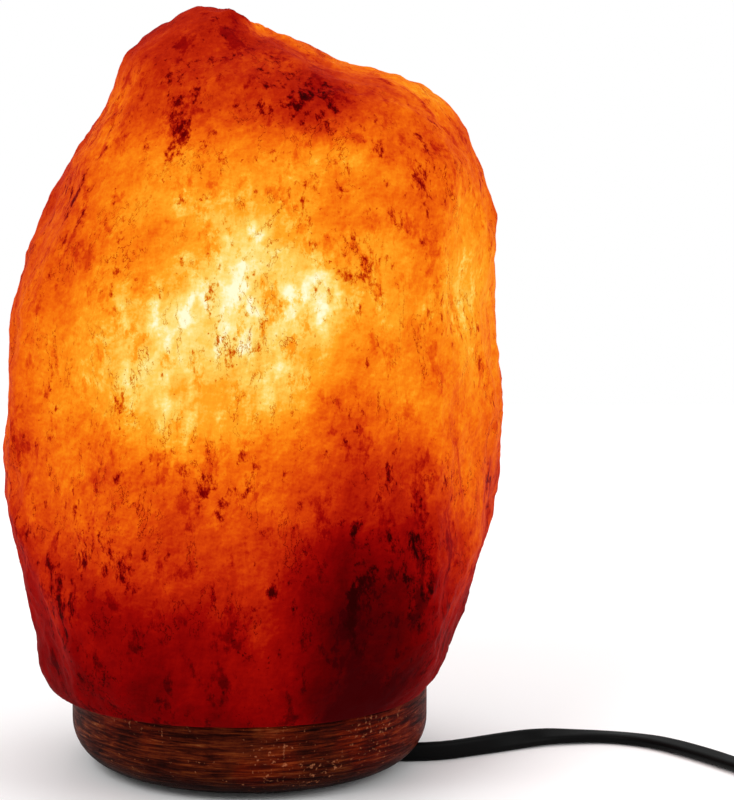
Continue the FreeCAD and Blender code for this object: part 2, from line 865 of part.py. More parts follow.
def rounded_path(points):
    """The path through the points and the radius of each of its arcs."""
    edges, radii, reached = [], [], points[0]
    for before, corner, after in zip(points, points[1:], points[2:]):
        back, onward = before - corner, after - corner
        length = ARC_SHARE * min(back.Length, onward.Length)
        back.normalize()
        onward.normalize()
        half_turn = (math.pi - back.getAngle(onward)) / 2
        radius = length / math.tan(half_turn)
        start, end = corner + back * length, corner + onward * length
        middle = corner + (back + onward).normalize() * (radius / math.cos(half_turn) - radius)
        edges.append(Part.LineSegment(reached, start).toShape())
        edges.append(Part.Arc(start, middle, end).toShape())
        radii.append(radius)
        reached = end
    edges.append(Part.LineSegment(reached, points[-1]).toShape())
    return Part.Wire(edges), radii


def flat_section(centre, thin, wide, thickness, width):
    """The cord's section: flat sides a web apart, and round edges. thin and wide are the
    directions of its thickness and of its width."""
    edge, half = thickness / 2, (width - thickness) / 2

    def at(a, b):
        return centre + thin * a + wide * b

    return Part.Wire([piece.toShape() for piece in (
        Part.LineSegment(at(edge, -half), at(edge, half)),
        Part.Arc(at(edge, half), at(0, half + edge), at(-edge, half)),
        Part.LineSegment(at(-edge, half), at(-edge, -half)),
        Part.Arc(at(-edge, -half), at(0, -half - edge), at(edge, -half)),
    )])


def section_area(thickness, width):
    """Area of the cord's section."""
    return (width - thickness) * thickness + math.pi * thickness ** 2 / 4


def check_volume(label, shape, area, length):
    """Compare a swept solid with its section times its length."""
    share = shape.Volume / (area * length)
    print("%s: length %.0f mm, volume over section times length %.3f" % (label, length, share))
    if not 0.97 < share < 1.03:
        raise RuntimeError(label + ": the sweep has lost its section")


def upright_cord(points):
    """A flat cord on its edge along a route, with its length and its radii."""
    thickness, width = float(size("cord_thickness")), float(size("cord_width"))
    path, radii = rounded_path(points)
    heading = points[1] - points[0]
    side = Vector(0, 0, 1).cross(heading).normalize()
    section = flat_section(points[0], side, Vector(0, 0, 1), thickness, width)
    return path.makePipeShell([section], True, False), path.Length, radii


def round_tube(points, radius):
    """A round wire along a route."""
    path, _ = rounded_path(points)
    section = Part.Wire([Part.Circle(points[0], points[1] - points[0], radius).toShape()])
    return path.makePipeShell([section], True, False)


def cord_along(label, points):
    """A free stretch of the cord, as a sub-part."""
    shape, length, radii = upright_cord(points)
    area = section_area(float(size("cord_thickness")), float(size("cord_width")))
    check_volume(label, shape, area, length)
    print("%s: radii %s mm" % (label, ", ".join("%.0f" % radius for radius in radii)))
    return from_shape(label, shape)


def make_spring_clips():
    """A band round the holder with two bowed wings that grip the wall of the crystal's bore."""
    thickness, width = float(size("clip_strip_thickness")), float(size("clip_strip_width"))
    inner = float(holder_radius) + float(size("clip_play")) / 2
    low = float(shell_bottom) + 3
    high = low + float(size("clip_band_height"))
    band = Part.makeCylinder(inner + thickness, high - low, Vector(0, 0, low))
    band = band.cut(Part.makeCylinder(inner, high - low, Vector(0, 0, low)))
    root = inner + thickness / 2
    wall = float(size("cavity_diameter")) / 2 - float(size("clip_play"))
    reach = math.sqrt(wall ** 2 - (width / 2) ** 2) - thickness / 2
    half_way = (root + reach) / 2
    wing_drop = float(size("clip_wing_drop"))
    wing_line = [
        Vector(root, 0, high - float(size("clip_root_drop"))),
        Vector(root, 0, high + float(size("clip_rise"))),
        Vector(half_way, 0, high + float(size("clip_crest"))),
        Vector(reach, 0, high - wing_drop),
        Vector(reach, 0, low - wing_drop),
        Vector(half_way, 0, low - float(size("clip_tail_drop"))),
    ]
    path, _ = rounded_path(wing_line)
    corners = [Vector(wing_line[0].x + a * thickness / 2, b * width / 2, wing_line[0].z)
               for a, b in ((-1, -1), (1, -1), (1, 1), (-1, 1), (-1, -1))]
    wing = path.makePipeShell([Part.makePolygon(corners)], True, False)
    other = wing.copy()
    other.rotate(Vector(0, 0, 0), Vector(0, 0, 1), 180)
    clips = band.fuse([wing, other]).removeSplitter()
    clips = clips.cut(Part.makeCylinder(inner, high - low + 2, Vector(0, 0, low - 1)))
    clips.rotate(Vector(0, 0, 0), Vector(0, 0, 1), 90 + float(size("slot_azimuth")))
    return from_shape("spring_clips", clips)


# ---------------------------------------------------------------------------------------
# Bulb
# ---------------------------------------------------------------------------------------


def make_bulb_cap():
    """The bulb's screw cap: a thin brass shell with rolled rounds for a thread."""
    outer = size("bulb_cap_diameter") / 2
    root = outer - size("bulb_thread_depth")
    wall = size("bulb_cap_wall")
    pitch = size("bulb_thread_pitch")
    start = cap_bottom + 2
    outside = [(root, cap_bottom)]
    inside = [(root - wall, cap_bottom)]
    for turn in range(4):
        low = start + pitch * turn
        outside += [(root, low), (outer, low + pitch / 2)]
        inside += [(root - wall, low), (outer - wall, low + pitch / 2)]
    last = start + pitch * 4
    outside += [(root, last), (root, cap_top)]
    inside += [(root - wall, last), (root - wall, cap_top)]
    return turned("bulb_cap", outside + inside[::-1])


def make_bulb_insulator():
    """The black glass disc between the cap and the tip."""
    cap_inner = size("bulb_cap_diameter") / 2 - size("bulb_thread_depth")
    tip = size("bulb_tip_diameter") / 2
    return turned("bulb_insulator", [
        (ZERO, insulator_bottom),
        (tip, insulator_bottom),
        (cap_inner, cap_bottom),
        (ZERO, cap_bottom),
    ])


def make_bulb_tip():
    """The solder tip under the bulb."""
    tip = size("bulb_tip_diameter") / 2
    return turned("bulb_tip", [
        (ZERO, tip_bottom),
        (tip * 0.6, tip_bottom),
        (tip, tip_bottom + size("bulb_tip_height") / 2),
        (tip, insulator_bottom),
        (ZERO, insulator_bottom),
    ])


bulb_neck_radius = (size("bulb_cap_diameter") / 2 - size("bulb_thread_depth")
                    - size("bulb_cap_wall") - size("bulb_neck_play"))


# How far the flare leans out from upright where it meets the globe, in degrees.
FLARE_LEAN = 12.4


def glass_form(name, inset):
    """The pear form of the bulb, drawn in by inset: neck, flare and globe."""
    globe = size("bulb_glass_diameter") / 2 - inset
    lean = math.radians(FLARE_LEAN)
    neck = bulb_neck_radius - inset
    neck_bottom = cap_top - 4 + inset
    flare_bottom = cap_top
    flare_top = globe_centre - globe * math.sin(lean)
    return fused(name, [
        primitive("Cylinder", name + "_neck", (ZERO, ZERO, neck_bottom), Radius=neck,
                  Height=flare_bottom - neck_bottom),
        primitive("Cone", name + "_flare", (ZERO, ZERO, flare_bottom), Radius1=neck,
                  Radius2=globe * math.cos(lean), Height=flare_top - flare_bottom),
        primitive("Sphere", name + "_globe", (ZERO, ZERO, globe_centre), Radius=globe),
    ])


def make_bulb_glass():
    """The clear pear-shaped glass, hollow."""
    outer = glass_form("glass_outside", ZERO)
    inner = glass_form("glass_inside", size("bulb_glass_wall"))
    return labelled(cut("bulb_glass", outer, inner), "bulb_glass")


def make_bulb_stem():
    """The glass stem that carries the lead wires, melted to the neck."""
    bottom = cap_top - 4 + size("bulb_glass_wall")
    foot = bulb_neck_radius - size("bulb_glass_wall") - size("bulb_neck_play")
    return turned("bulb_stem", [
        (ZERO, bottom),
        (foot, bottom),
        (foot / 2, bottom + size("bulb_stem_height") / 2),
        (foot / 2, bottom + size("bulb_stem_height")),
        (ZERO, bottom + size("bulb_stem_height")),
    ])


def stem_top():
    """Height of the stem's top, where the lead wires come out."""
    return cap_top - 4 + size("bulb_glass_wall") + size("bulb_stem_height")


def make_lead_wires():
    """Two wires that rise from the stem's top and spread to hold the filament."""
    radius = float(size("bulb_lead_diameter")) / 2
    low = float(stem_top())
    high = low + float(size("bulb_lead_length"))
    spread = float(size("bulb_lead_spread")) / 2
    root = float(size("bulb_lead_root_spread")) / 2
    wires = []
    for side in (-1, 1):
        wires.append(round_tube([
            Vector(side * root, 0, low),
            Vector(side * root, 0, low + float(size("bulb_lead_bend_start"))),
            Vector(side * spread, 0, low + float(size("bulb_lead_bend_end"))),
            Vector(side * spread, 0, high),
        ], radius))
    return from_shape("bulb_lead_wires", Part.makeCompound(wires))


def make_filament():
    """The coiled filament, bowed between the tops of the lead wires."""
    radius = float(size("filament_diameter")) / 2
    spread = float(size("bulb_lead_spread")) / 2
    high = float(stem_top()) + float(size("bulb_lead_length"))
    reach = (spread - float(size("bulb_lead_diameter")) / 2 - radius
             - float(size("filament_gap")))
    path = Part.Wire([Part.Arc(Vector(-reach, 0, high - 1), Vector(0, 0, high + reach - 1),
                               Vector(reach, 0, high - 1)).toShape()])
    section = Part.Wire([Part.Circle(Vector(-reach, 0, high - 1), Vector(0, 0, 1), radius).toShape()])
    return from_shape("bulb_filament", path.makePipeShell([section], True, False))


# ---------------------------------------------------------------------------------------
# Cord: inside the base, on the table, coiled for storage
# ---------------------------------------------------------------------------------------

cord_width, cord_thickness = float(size("cord_width")), float(size("cord_thickness"))
edge_height = cord_width / 2
lift_on_tie = float(size("tie_thickness")) + float(size("tie_play"))
first_layer = edge_height + lift_on_tie
second_layer = first_layer + cord_width + float(size("coil_layer_gap"))

# The route on the table from the base to the dimmer: x, y and the height above a cord that
# lies on its edge. The points before and after these follow from the slot and the dimmer.
RUN_FIRST_REACH = 56.5
RUN_TO_DIMMER = [
    (75.0, 5.0, 0.0),
    (92.0, 16.6, 0.0),
    (102.0, 20.0, 0.0),
    (112.5, 20.1, 0.0),
    (122.5, 16.4, 0.0),
    (132.0, 9.0, 0.0),
    (144.0, -5.0, 0.0),
    (154.5, -18.5, 0.0),
    (165.0, -31.0, 0.6),
    (180.0, -39.5, 2.6),
]
RUN_LAST_LENGTH = 13.0

# The turn from the dimmer to the coil: x and y from the dimmer's boot, and the share of the
# descent to the coil's first layer.
TAIL_TURN = [(15.0, 0.0, 0.0), (29.7, 8.5, 0.25), (38.2, 23.2, 0.65), (38.2, 40.5, 1.0)]
TAIL_REACH = 52.0

boot_reach = float(size("dimmer_length")) / 2 + float(size("boot_length"))
run_end = Vector(float(size("dimmer_x")) - boot_reach, float(size("dimmer_y")),
                 float(size("dimmer_entry_height")))
tail_start = run_end + Vector(2 * boot_reach, 0, 0)
coil_start = Vector(tail_start.x + TAIL_TURN[-1][0], tail_start.y + TAIL_REACH, first_layer)
coil_centre = coil_start + Vector(-float(size("coil_outer_radius")), cord_width, 0)


def make_inner_cord():
    """The cord inside the lamp: on its edge in the slot of the base, turned flat in the
    recess, then up into the holder's cap."""
    bend = float(size("cord_rise_radius"))
    joint = float(size("cord_joint_radius"))
    top = float(size("holder_height")) + float(size("holder_wall")) + 1.0
    twist_end = bend + 1.0
    twist_start = twist_end + float(size("cord_twist_length"))
    sections, steps = [], 6
    for step in range(steps + 1):
        angle = math.radians(90.0 * step / steps)
        centre = Vector(twist_start + (twist_end - twist_start) * step / steps, 0, edge_height)
        thin = Vector(0, math.cos(angle), -math.sin(angle))
        wide = Vector(0, math.sin(angle), math.cos(angle))
        sections.append(flat_section(centre, thin, wide, cord_thickness, cord_width))
    twist = Part.makeLoft(sections, True, False)
    straight = Part.Face(sections[0]).extrude(Vector(joint - twist_start, 0, 0))
    turn_in, turn_out = Vector(bend, 0, edge_height), Vector(0, 0, edge_height + bend)
    middle = Vector(bend * (1 - math.sin(math.pi / 4)), 0,
                    edge_height + bend * (1 - math.cos(math.pi / 4)))
    rise = Part.Wire([
        Part.LineSegment(Vector(twist_end, 0, edge_height), turn_in).toShape(),
        Part.Arc(turn_in, middle, turn_out).toShape(),
        Part.LineSegment(turn_out, Vector(0, 0, top)).toShape(),
    ]).makePipeShell([sections[-1]], True, False)
    cord = straight.fuse([twist, rise]).removeSplitter()
    length = joint - bend + math.pi / 2 * bend + top - turn_out.z
    check_volume("inner_cord", cord, section_area(cord_thickness, cord_width), length)
    cord.rotate(Vector(0, 0, 0), Vector(0, 0, 1), float(size("slot_azimuth")))
    return from_shape("inner_cord", cord)


def make_cord_run():
    """The cord from the base to the dimmer."""
    azimuth = float(size("slot_azimuth"))
    route = [polar(float(size("cord_joint_radius")), azimuth, edge_height),
             polar(RUN_FIRST_REACH, azimuth, edge_height)]
    route += [Vector(x, y, edge_height + lift) for x, y, lift in RUN_TO_DIMMER]
    route += [run_end - Vector(RUN_LAST_LENGTH, 0, 0), run_end]
    return cord_along("cord_run", route)


def make_cord_tail():
    """The cord from the dimmer round to the coil."""
    fall = first_layer - tail_start.z
    route = [tail_start]
    route += [tail_start + Vector(x, y, fall * share) for x, y, share in TAIL_TURN]
    return cord_along("cord_tail", route + [coil_start])


def coil_quarter(index):
    """Point and heading of the coil's line after this many quarter turns."""
    inward, outward = int(float(size("coil_inward_quarters"))), int(float(size("coil_outward_quarters")))
    pitch = float(size("coil_radial_pitch"))
    rise = second_layer - first_layer
    inmost = float(size("coil_outer_radius")) - pitch * inward / 4
    if index <= inward:
        radius, height = float(size("coil_outer_radius")) - pitch * index / 4, first_layer
        drift, climb = -pitch / 4, 0.0
    elif index == inward + 1:
        radius, height = inmost - pitch / 2, first_layer + rise / 2
        drift, climb = 0.0, 0.75 * rise
    else:
        radius, height = inmost + pitch * (index - inward - 2) / 4, second_layer
        drift, climb = pitch / 4, 0.0
    if index in (0, inward + 2 + outward):
        drift = 0.0
    angle = math.pi / 2 * index
    outwards = Vector(math.cos(angle), math.sin(angle), 0)
    onwards = Vector(-math.sin(angle), math.cos(angle), 0)
    point = Vector(coil_centre.x, coil_centre.y, height) + outwards * radius
    heading = outwards * drift + onwards * (radius * math.pi / 2) + Vector(0, 0, climb)
    return point, heading.normalize()


def arc_from(start, heading, end):
    """The arc that leaves start along heading and arrives at end."""
    chord = end - start
    along = Vector(chord).normalize()
    sideways = heading - along * heading.dot(along)
    if sideways.Length < 1e-9:
        return Part.LineSegment(start, end).toShape()
    bulge = chord.Length / 2 * math.tan(heading.getAngle(along) / 2)
    return Part.Arc(start, start + chord / 2 + sideways.normalize() * bulge, end).toShape()


def biarc(start, heading, end, arrival):
    """Two tangent arcs from one point and heading to another."""
    span, both = end - start, heading + arrival
    spread = 2 * (1 - heading.dot(arrival))
    reach = (-span.dot(both) + math.sqrt(span.dot(both) ** 2 + spread * span.dot(span))) / spread
    joint = (start + end + (heading - arrival) * reach) / 2
    second = arc_from(end, -arrival, joint)
    return [arc_from(start, heading, joint), second]


def least_gap(path, section_thickness, section_width):
    """The least clear distance between turns of an upright flat cord along a path."""
    step = 2.0
    points = path.discretize(Distance=step)
    apart = int(6 * section_width / step)
    web = section_width - section_thickness
    least = float("inf")
    for index, point in enumerate(points):
        for other in points[index + apart:]:
            level_gap = max(0.0, abs(point.z - other.z) - web)
            least = min(least, math.hypot(point.x - other.x, point.y - other.y, level_gap))
    return least - section_thickness


def coil_path():
    """The coil's line: a straight lead, turns that spiral in, a climb of half a turn, turns
    that spiral out on the first layer, and a straight end."""
    last = int(float(size("coil_inward_quarters"))) + 2 + int(float(size("coil_outward_quarters")))
    quarters = [coil_quarter(index) for index in range(last + 1)]
    edges = [Part.LineSegment(coil_start, quarters[0][0]).toShape()]
    for (start, heading), (end, arrival) in zip(quarters, quarters[1:]):
        edges += biarc(start, heading, end, arrival)
    end, heading = quarters[-1]
    edges.append(Part.LineSegment(end, end + heading * cord_width).toShape())
    return Part.Wire(Part.sortEdges(edges)[0]), end + heading * cord_width


def make_cord_coil():
    """The length that is put away, as a round coil two layers deep."""
    path, _ = coil_path()
    section = flat_section(coil_start, Vector(1, 0, 0), Vector(0, 0, 1), cord_thickness, cord_width)
    coil = path.makePipeShell([section], True, False)
    check_volume("cord_coil", coil, section_area(cord_thickness, cord_width), path.Length)
    print("cord_coil: least gap to itself %.2f mm" % least_gap(path, cord_thickness, cord_width))
    return from_shape("cord_coil", coil)


# The lead from the coil to the plug: distances along it where it starts to come down and
# is down, as shares of its length.
PLUG_DROP = (0.3, 0.7)


def plug_place():
    """Where the cord meets the plug's relief."""
    _, coil_end = coil_path()
    return Vector(coil_end.x - float(size("cord_lead_to_plug")), coil_end.y,
                  float(size("plug_thickness")) / 2)


def make_cord_lead():
    """The short lead from the coil's last turn to the plug."""
    _, start = coil_path()
    end = plug_place()
    along = end.x - start.x
    route = [start, Vector(start.x + along * PLUG_DROP[0], start.y, start.z),
             Vector(start.x + along * PLUG_DROP[1], start.y, end.z), end]
    return cord_along("cord_lead", route)


TIE_ANGLE = 315.0
TIE_TWIST_RISE = 60


def make_coil_tie():
    """A strip tied round all the turns of the coil, with its ends twisted together."""
    thickness, width, play = (float(size("tie_" + way)) for way in ("thickness", "width", "play"))
    inward, outward = float(size("coil_inward_quarters")), float(size("coil_outward_quarters"))
    pitch, outer = float(size("coil_radial_pitch")), float(size("coil_outer_radius"))
    inner_turn = outer - pitch * inward / 4 - cord_thickness / 2 - play
    outer_turn = (outer + pitch * (outward - inward) / 4) + cord_thickness / 2 + play
    top = second_layer + cord_width / 2 + play
    hole = Part.makeBox(outer_turn - inner_turn, 2 * width, top - thickness,
                        Vector(inner_turn, -width, thickness))
    band = Part.makeBox(outer_turn - inner_turn + 2 * thickness, width, top + thickness,
                        Vector(inner_turn - thickness, -width / 2, 0))
    band = band.makeFillet(thickness, [edge for edge in band.Edges if edge.BoundBox.YLength > 1])
    twist = Part.makeCylinder(float(size("tie_twist_diameter")) / 2,
                              float(size("tie_twist_length")), Vector(outer_turn, 0, top),
                              polar(1, 0, math.tan(math.radians(TIE_TWIST_RISE))))
    tie = band.cut(hole).fuse(twist).cut(hole)
    tie.rotate(Vector(0, 0, 0), Vector(0, 0, 1), TIE_ANGLE)
    tie.translate(Vector(coil_centre.x, coil_centre.y, 0))
    return from_shape("coil_tie", tie)


def make_holder_wires():
    """The cord's two conductors, parted inside the cap and led to the terminals."""
    spread = float(size("terminal_spacing")) / 2
    core = (cord_width - cord_thickness) / 2
    low = float(size("holder_height")) + float(size("holder_wall")) + 1.0
    high = float(core_bottom) - float(size("terminal_head_height"))
    wires = Part.makeCompound([round_tube([
        Vector(0, side * core, low),
        Vector(0, side * core, low + 2.2),
        Vector(0, side * spread, high - 2.6),
        Vector(0, side * spread, high),
    ], float(size("conductor_diameter")) / 2) for side in (-1, 1)])
    wires.rotate(Vector(0, 0, 0), Vector(0, 0, 1), float(size("slot_azimuth")))
    return from_shape("holder_wires", wires)


# ---------------------------------------------------------------------------------------
# In-line dimmer, drawn about its own centre and then placed on the table
# ---------------------------------------------------------------------------------------

parting = size("dimmer_height") / 2
ceiling = size("dimmer_height") - size("dimmer_wall")
board_bottom = size("dimmer_wall") + size("board_lift")
board_top = board_bottom + size("board_thickness")
potentiometer_top = board_top + size("potentiometer_height")
wheel_bottom = potentiometer_top + size("wheel_gap")
wheel_top = wheel_bottom + size("wheel_thickness")
wheel_radius = size("wheel_diameter") / 2
wheel_y = wheel_radius - size("dimmer_width") / 2 - size("wheel_proud")
board_length = size("boss_circle_radius") * 2 - size("boss_diameter") * 1.8
board_width = size("dimmer_width") - size("dimmer_wall") * 2 - size("board_play") * 2


def on_dimmer(made):
    """Move a sub-part from the dimmer's own centre to its place on the table."""
    return put(made, x=size("dimmer_x"), y=size("dimmer_y"))


def shell_outline(inset):
    """The dimmer's outline, seen from above."""
    inset = as_size(inset)
    return rounded_rectangle(size("dimmer_length") - inset * 2, size("dimmer_width") - inset * 2,
                             size("dimmer_corner") - inset)


def open_cord_mouths(body):
    """Round mouths for the boots' necks in both end walls."""
    sketch = draw_circle(new_sketch(body, "YZ_Plane"), size("boot_neck_diameter") / 2 + size("boot_play"),
                         y=size("dimmer_entry_height"))
    made = feature(body, "Pocket", sketch, Length=size("dimmer_length") + 2)
    made.Midplane = True
    return made


def open_wheel_slot(body):
    """The slot in the front wall that the wheel stands out of."""
    play = size("wheel_play")
    wall_y = size("dimmer_width") / 2 - size("dimmer_wall")
    depth = wheel_y + wall_y
    half_chord = (wheel_radius * wheel_radius - depth * depth).root() + play
    sketch = new_sketch(body, "XY_Plane", lift=wheel_bottom - play)
    draw_outline(sketch, rectangle(half_chord * 2, size("dimmer_wall") + 1,
                                   x=size("wheel_offset_x"),
                                   y=-wall_y - size("dimmer_wall") / 2 + 0.2))
    return pocket(body, sketch, size("wheel_thickness") + play * 2)


def boss_sketch(body, lift, radius):
    """Circles on the two screws' axes."""
    sketch = new_sketch(body, "XY_Plane", lift=lift, turn=size("boss_azimuth"))
    for side in (-1, 1):
        draw_circle(sketch, radius, x=size("boss_circle_radius") * side)
    return sketch


def make_dimmer_base():
    """The lower half of the dimmer: a tray with screw bosses and posts for the board."""
    body = new_body("dimmer_base")
    pad(body, draw_outline(new_sketch(body, "XY_Plane"), shell_outline(0)), parting)
    round_edges(body, size("dimmer_lower_edge"), lambda edge: level(edge, 0))
    wall = size("dimmer_wall")
    pocket(body, draw_outline(new_sketch(body, "XY_Plane", lift=wall), shell_outline(wall)),
           parting - wall)
    pad(body, boss_sketch(body, wall, size("boss_diameter") / 2), parting - wall)
    posts = new_sketch(body, "XY_Plane", lift=wall)
    for x_side, y_side in ((-1, -1), (1, -1), (1, 1), (-1, 1)):
        draw_circle(posts, size("post_diameter") / 2,
                    x=(board_length / 2 - size("post_margin")) * x_side,
                    y=(board_width / 2 - size("post_margin")) * y_side)
    pad(body, posts, size("board_lift"))
    for diameter, depth in (("dimmer_screw_diameter", parting), ("dimmer_screw_head", wall)):
        radius = size(diameter) / 2 + size("dimmer_screw_play")
        pocket(body, boss_sketch(body, ZERO, radius), depth)
    open_cord_mouths(body)
    open_wheel_slot(body)
    return on_dimmer(body)


def make_dimmer_cover():
    """The upper half of the dimmer: a rounded lid with blind bosses and the bearing for the
    wheel's spindle."""
    body = new_body("dimmer_cover")
    pad(body, draw_outline(new_sketch(body, "XY_Plane", lift=parting), shell_outline(0)),
        size("dimmer_height") - parting)
    round_edges(body, size("dimmer_upper_edge"), lambda edge: level(edge, size("dimmer_height")))
    wall = size("dimmer_wall")
    pocket(body, draw_outline(new_sketch(body, "XY_Plane", lift=parting), shell_outline(wall)),
           ceiling - parting)
    pad(body, boss_sketch(body, parting, size("boss_diameter") / 2), ceiling - parting)
    pocket(body, boss_sketch(body, parting, size("dimmer_screw_diameter") / 2
                             + size("spindle_play")), ceiling - parting - size("dimmer_wall"))
    bearing = new_sketch(body, "XY_Plane", lift=wheel_top + size("wheel_play"))
    draw_circle(bearing, size("spindle_diameter"), x=size("wheel_offset_x"), y=wheel_y)
    pad(body, bearing, ceiling - wheel_top - size("wheel_play"))
    bore = new_sketch(body, "XY_Plane", lift=wheel_top + size("wheel_play"))
    draw_circle(bore, size("spindle_diameter") / 2 + size("spindle_play"),
                x=size("wheel_offset_x"), y=wheel_y)
    pocket(body, bore, ceiling - wheel_top - size("wheel_play"))
    open_cord_mouths(body)
    open_wheel_slot(body)
    return on_dimmer(body)


def make_dimmer_wheel():
    """The thumbwheel, notched round its edge."""
    body = new_body("dimmer_wheel")
    sketch = draw_circle(new_sketch(body, "XY_Plane", lift=wheel_bottom), wheel_radius)
    draw_circle(sketch, size("spindle_diameter") / 2 + size("spindle_play") / 2)
    pad(body, sketch, size("wheel_thickness"))
    round_edges(body, size("wheel_edge"), lambda edge: is_circle(edge, wheel_radius))
    notch = new_sketch(body, "XY_Plane", lift=wheel_bottom)
    draw_circle(notch, size("wheel_notch_diameter") / 2, x=wheel_radius)
    ring_pattern(body, [pocket(body, notch, size("wheel_thickness"))], size("wheel_notch_count"))
    return put(body, x=size("dimmer_x") + size("wheel_offset_x"), y=size("dimmer_y") + wheel_y)


def make_dimmer_spindle():
    """The potentiometer's shaft, which the wheel is pressed on and the cover steadies."""
    radius = size("spindle_diameter") / 2
    edge = size("spindle_edge")
    bottom, top = board_top + size("spindle_gap"), ceiling - size("spindle_gap")
    body = turned("dimmer_spindle", [
        (ZERO, bottom),
        (radius, bottom),
        (radius, top - edge),
        (radius - edge, top),
        (ZERO, top),
    ])
    return put(body, x=size("dimmer_x") + size("wheel_offset_x"), y=size("dimmer_y") + wheel_y)


def make_potentiometer():
    """The flat round potentiometer under the wheel, with the bore for its shaft."""
    inner = size("spindle_diameter") / 2 + size("spindle_play")
    outer = size("potentiometer_diameter") / 2
    rim = size("potentiometer_rim")
    body = turned("potentiometer", [
        (inner, board_top),
        (outer, board_top),
        (outer, potentiometer_top - rim),
        (outer - rim, potentiometer_top - rim),
        (outer - rim, potentiometer_top),
        (inner, potentiometer_top),
    ])
    return put(body, x=size("dimmer_x") + size("wheel_offset_x"), y=size("dimmer_y") + wheel_y)


def make_dimmer_board():
    """The circuit board on its four posts."""
    body = new_body("dimmer_board")
    sketch = new_sketch(body, "XY_Plane", lift=board_bottom)
    pad(body, draw_outline(sketch, rectangle(board_length, board_width)), size("board_thickness"))
    return on_dimmer(body)


terminal_x = board_length / 2 - size("board_margin")
terminal_radius = size("terminal_diameter") / 2
core_offset = (size("cord_width") - size("cord_thickness")) / 2
board_edge = board_width / 2 - size("board_margin")


def on_board(kind, label, x, y, lift=ZERO, **bound):
    """A component that stands on the board, its corner or centre at (x, y)."""
    place = (size("dimmer_x") + x, size("dimmer_y") + y, board_top + lift)
    return labelled(primitive(kind, label, place, **bound), label)


def make_dimmer_capacitor():
    """The film capacitor, a box with round upright edges."""
    box = on_board("Box", "capacitor_block", terminal_x - size("capacitor_length"), -board_edge,
                   Length=size("capacitor_length"), Width=size("capacitor_width"),
                   Height=size("capacitor_height"))
    document.recompute()
    made = document.addObject("Part::Fillet", "dimmer_capacitor")
    made.Base = box
    made.Edges = [(n + 1, 1.0, 1.0) for n, edge in enumerate(box.Shape.Edges) if upright(edge)]
    return labelled(made, "dimmer_capacitor")


def make_dimmer_choke():
    """The choke, a wound ring that lies on the board beside the posts."""
    ring, winding = size("choke_ring_radius"), size("choke_winding_radius")
    reach = ring + winding
    return on_board("Torus", "dimmer_choke",
                    terminal_x - terminal_radius - size("component_play") - reach,
                    board_edge - reach, lift=winding, Radius1=ring, Radius2=winding)


def make_dimmer_triac():
    """The triac: a moulded block with its metal tab behind."""
    width, tab = size("triac_width"), size("triac_tab_thickness")
    tab_y = board_edge - tab + size("component_play")
    block = on_board("Box", "triac_block", -width, tab_y - size("triac_thickness"),
                     Length=width, Width=size("triac_thickness"), Height=size("triac_height"))
    tab = on_board("Box", "triac_tab", -width, tab_y, Length=width, Width=tab,
                   Height=size("triac_tab_height"))
    return labelled(fused("dimmer_triac", [block, tab]), "dimmer_triac")


def make_dimmer_terminals():
    """Four brass posts that the conductors are soldered to."""
    body = new_body("dimmer_terminals")
    sketch = new_sketch(body, "XY_Plane", lift=board_top)
    for x_side, y_side in ((-1, -1), (1, -1), (1, 1), (-1, 1)):
        draw_circle(sketch, terminal_radius, x=terminal_x * x_side, y=core_offset * y_side)
    pad(body, sketch, size("potentiometer_height") - size("terminal_gap"))
    return on_dimmer(body)


def make_dimmer_wires():
    """The conductors from each boot to its pair of posts."""
    body = new_body("dimmer_wires")
    inner_face = size("dimmer_length") / 2 - size("dimmer_wall") - size("boot_flange_thickness")
    start = terminal_x + terminal_radius + size("wire_play")
    for side in (-1, 1):
        near = start if side > 0 else -inner_face
        sketch = new_sketch(body, "YZ_Plane", lift=near)
        for y_side in (-1, 1):
            draw_circle(sketch, size("conductor_diameter") / 2, x=core_offset * y_side,
                        y=board_top + (size("potentiometer_height") - size("terminal_gap")) / 2)
        pad(body, sketch, inner_face - start)
    return on_dimmer(body)


def make_dimmer_boots():
    """Two ribbed rubber boots that grip the cord where it enters the dimmer."""
    body = new_body("dimmer_boots")
    face = size("dimmer_length") / 2
    length = size("boot_length")
    root, end = size("boot_root_diameter") / 2, size("boot_end_diameter") / 2
    neck = size("boot_neck_diameter") / 2
    inside = face - size("dimmer_wall")
    outline = [
        (inside - size("boot_flange_thickness"), ZERO),
        (face + length, ZERO),
        (face + length, end),
    ]
    ribs = int(float(size("boot_rib_count")))
    for rib in range(ribs, 0, -1):
        share = rib / (ribs + 1)
        near = face + length * share
        far = near + size("boot_rib_width")
        crest = root + (end - root) * share
        valley = crest - size("boot_rib_depth")
        outline += [(far, crest), (far, valley), (near, valley), (near, crest)]
    flange = neck + size("boot_flange_width")
    outline += [(face, root), (face, neck), (inside, neck), (inside, flange),
                (inside - size("boot_flange_thickness"), flange)]
    sketch = new_sketch(body, "XZ_Plane", rise=size("dimmer_entry_height"))
    draw_outline(sketch, outline)
    made = body.newObject("PartDesign::Revolution", "dimmer_boots_revolution")
    made.Profile = sketch
    made.ReferenceAxis = (sketch, ["H_Axis"])
    made.Angle = 360
    ring_pattern(body, [made], as_size(2))
    return on_dimmer(body)


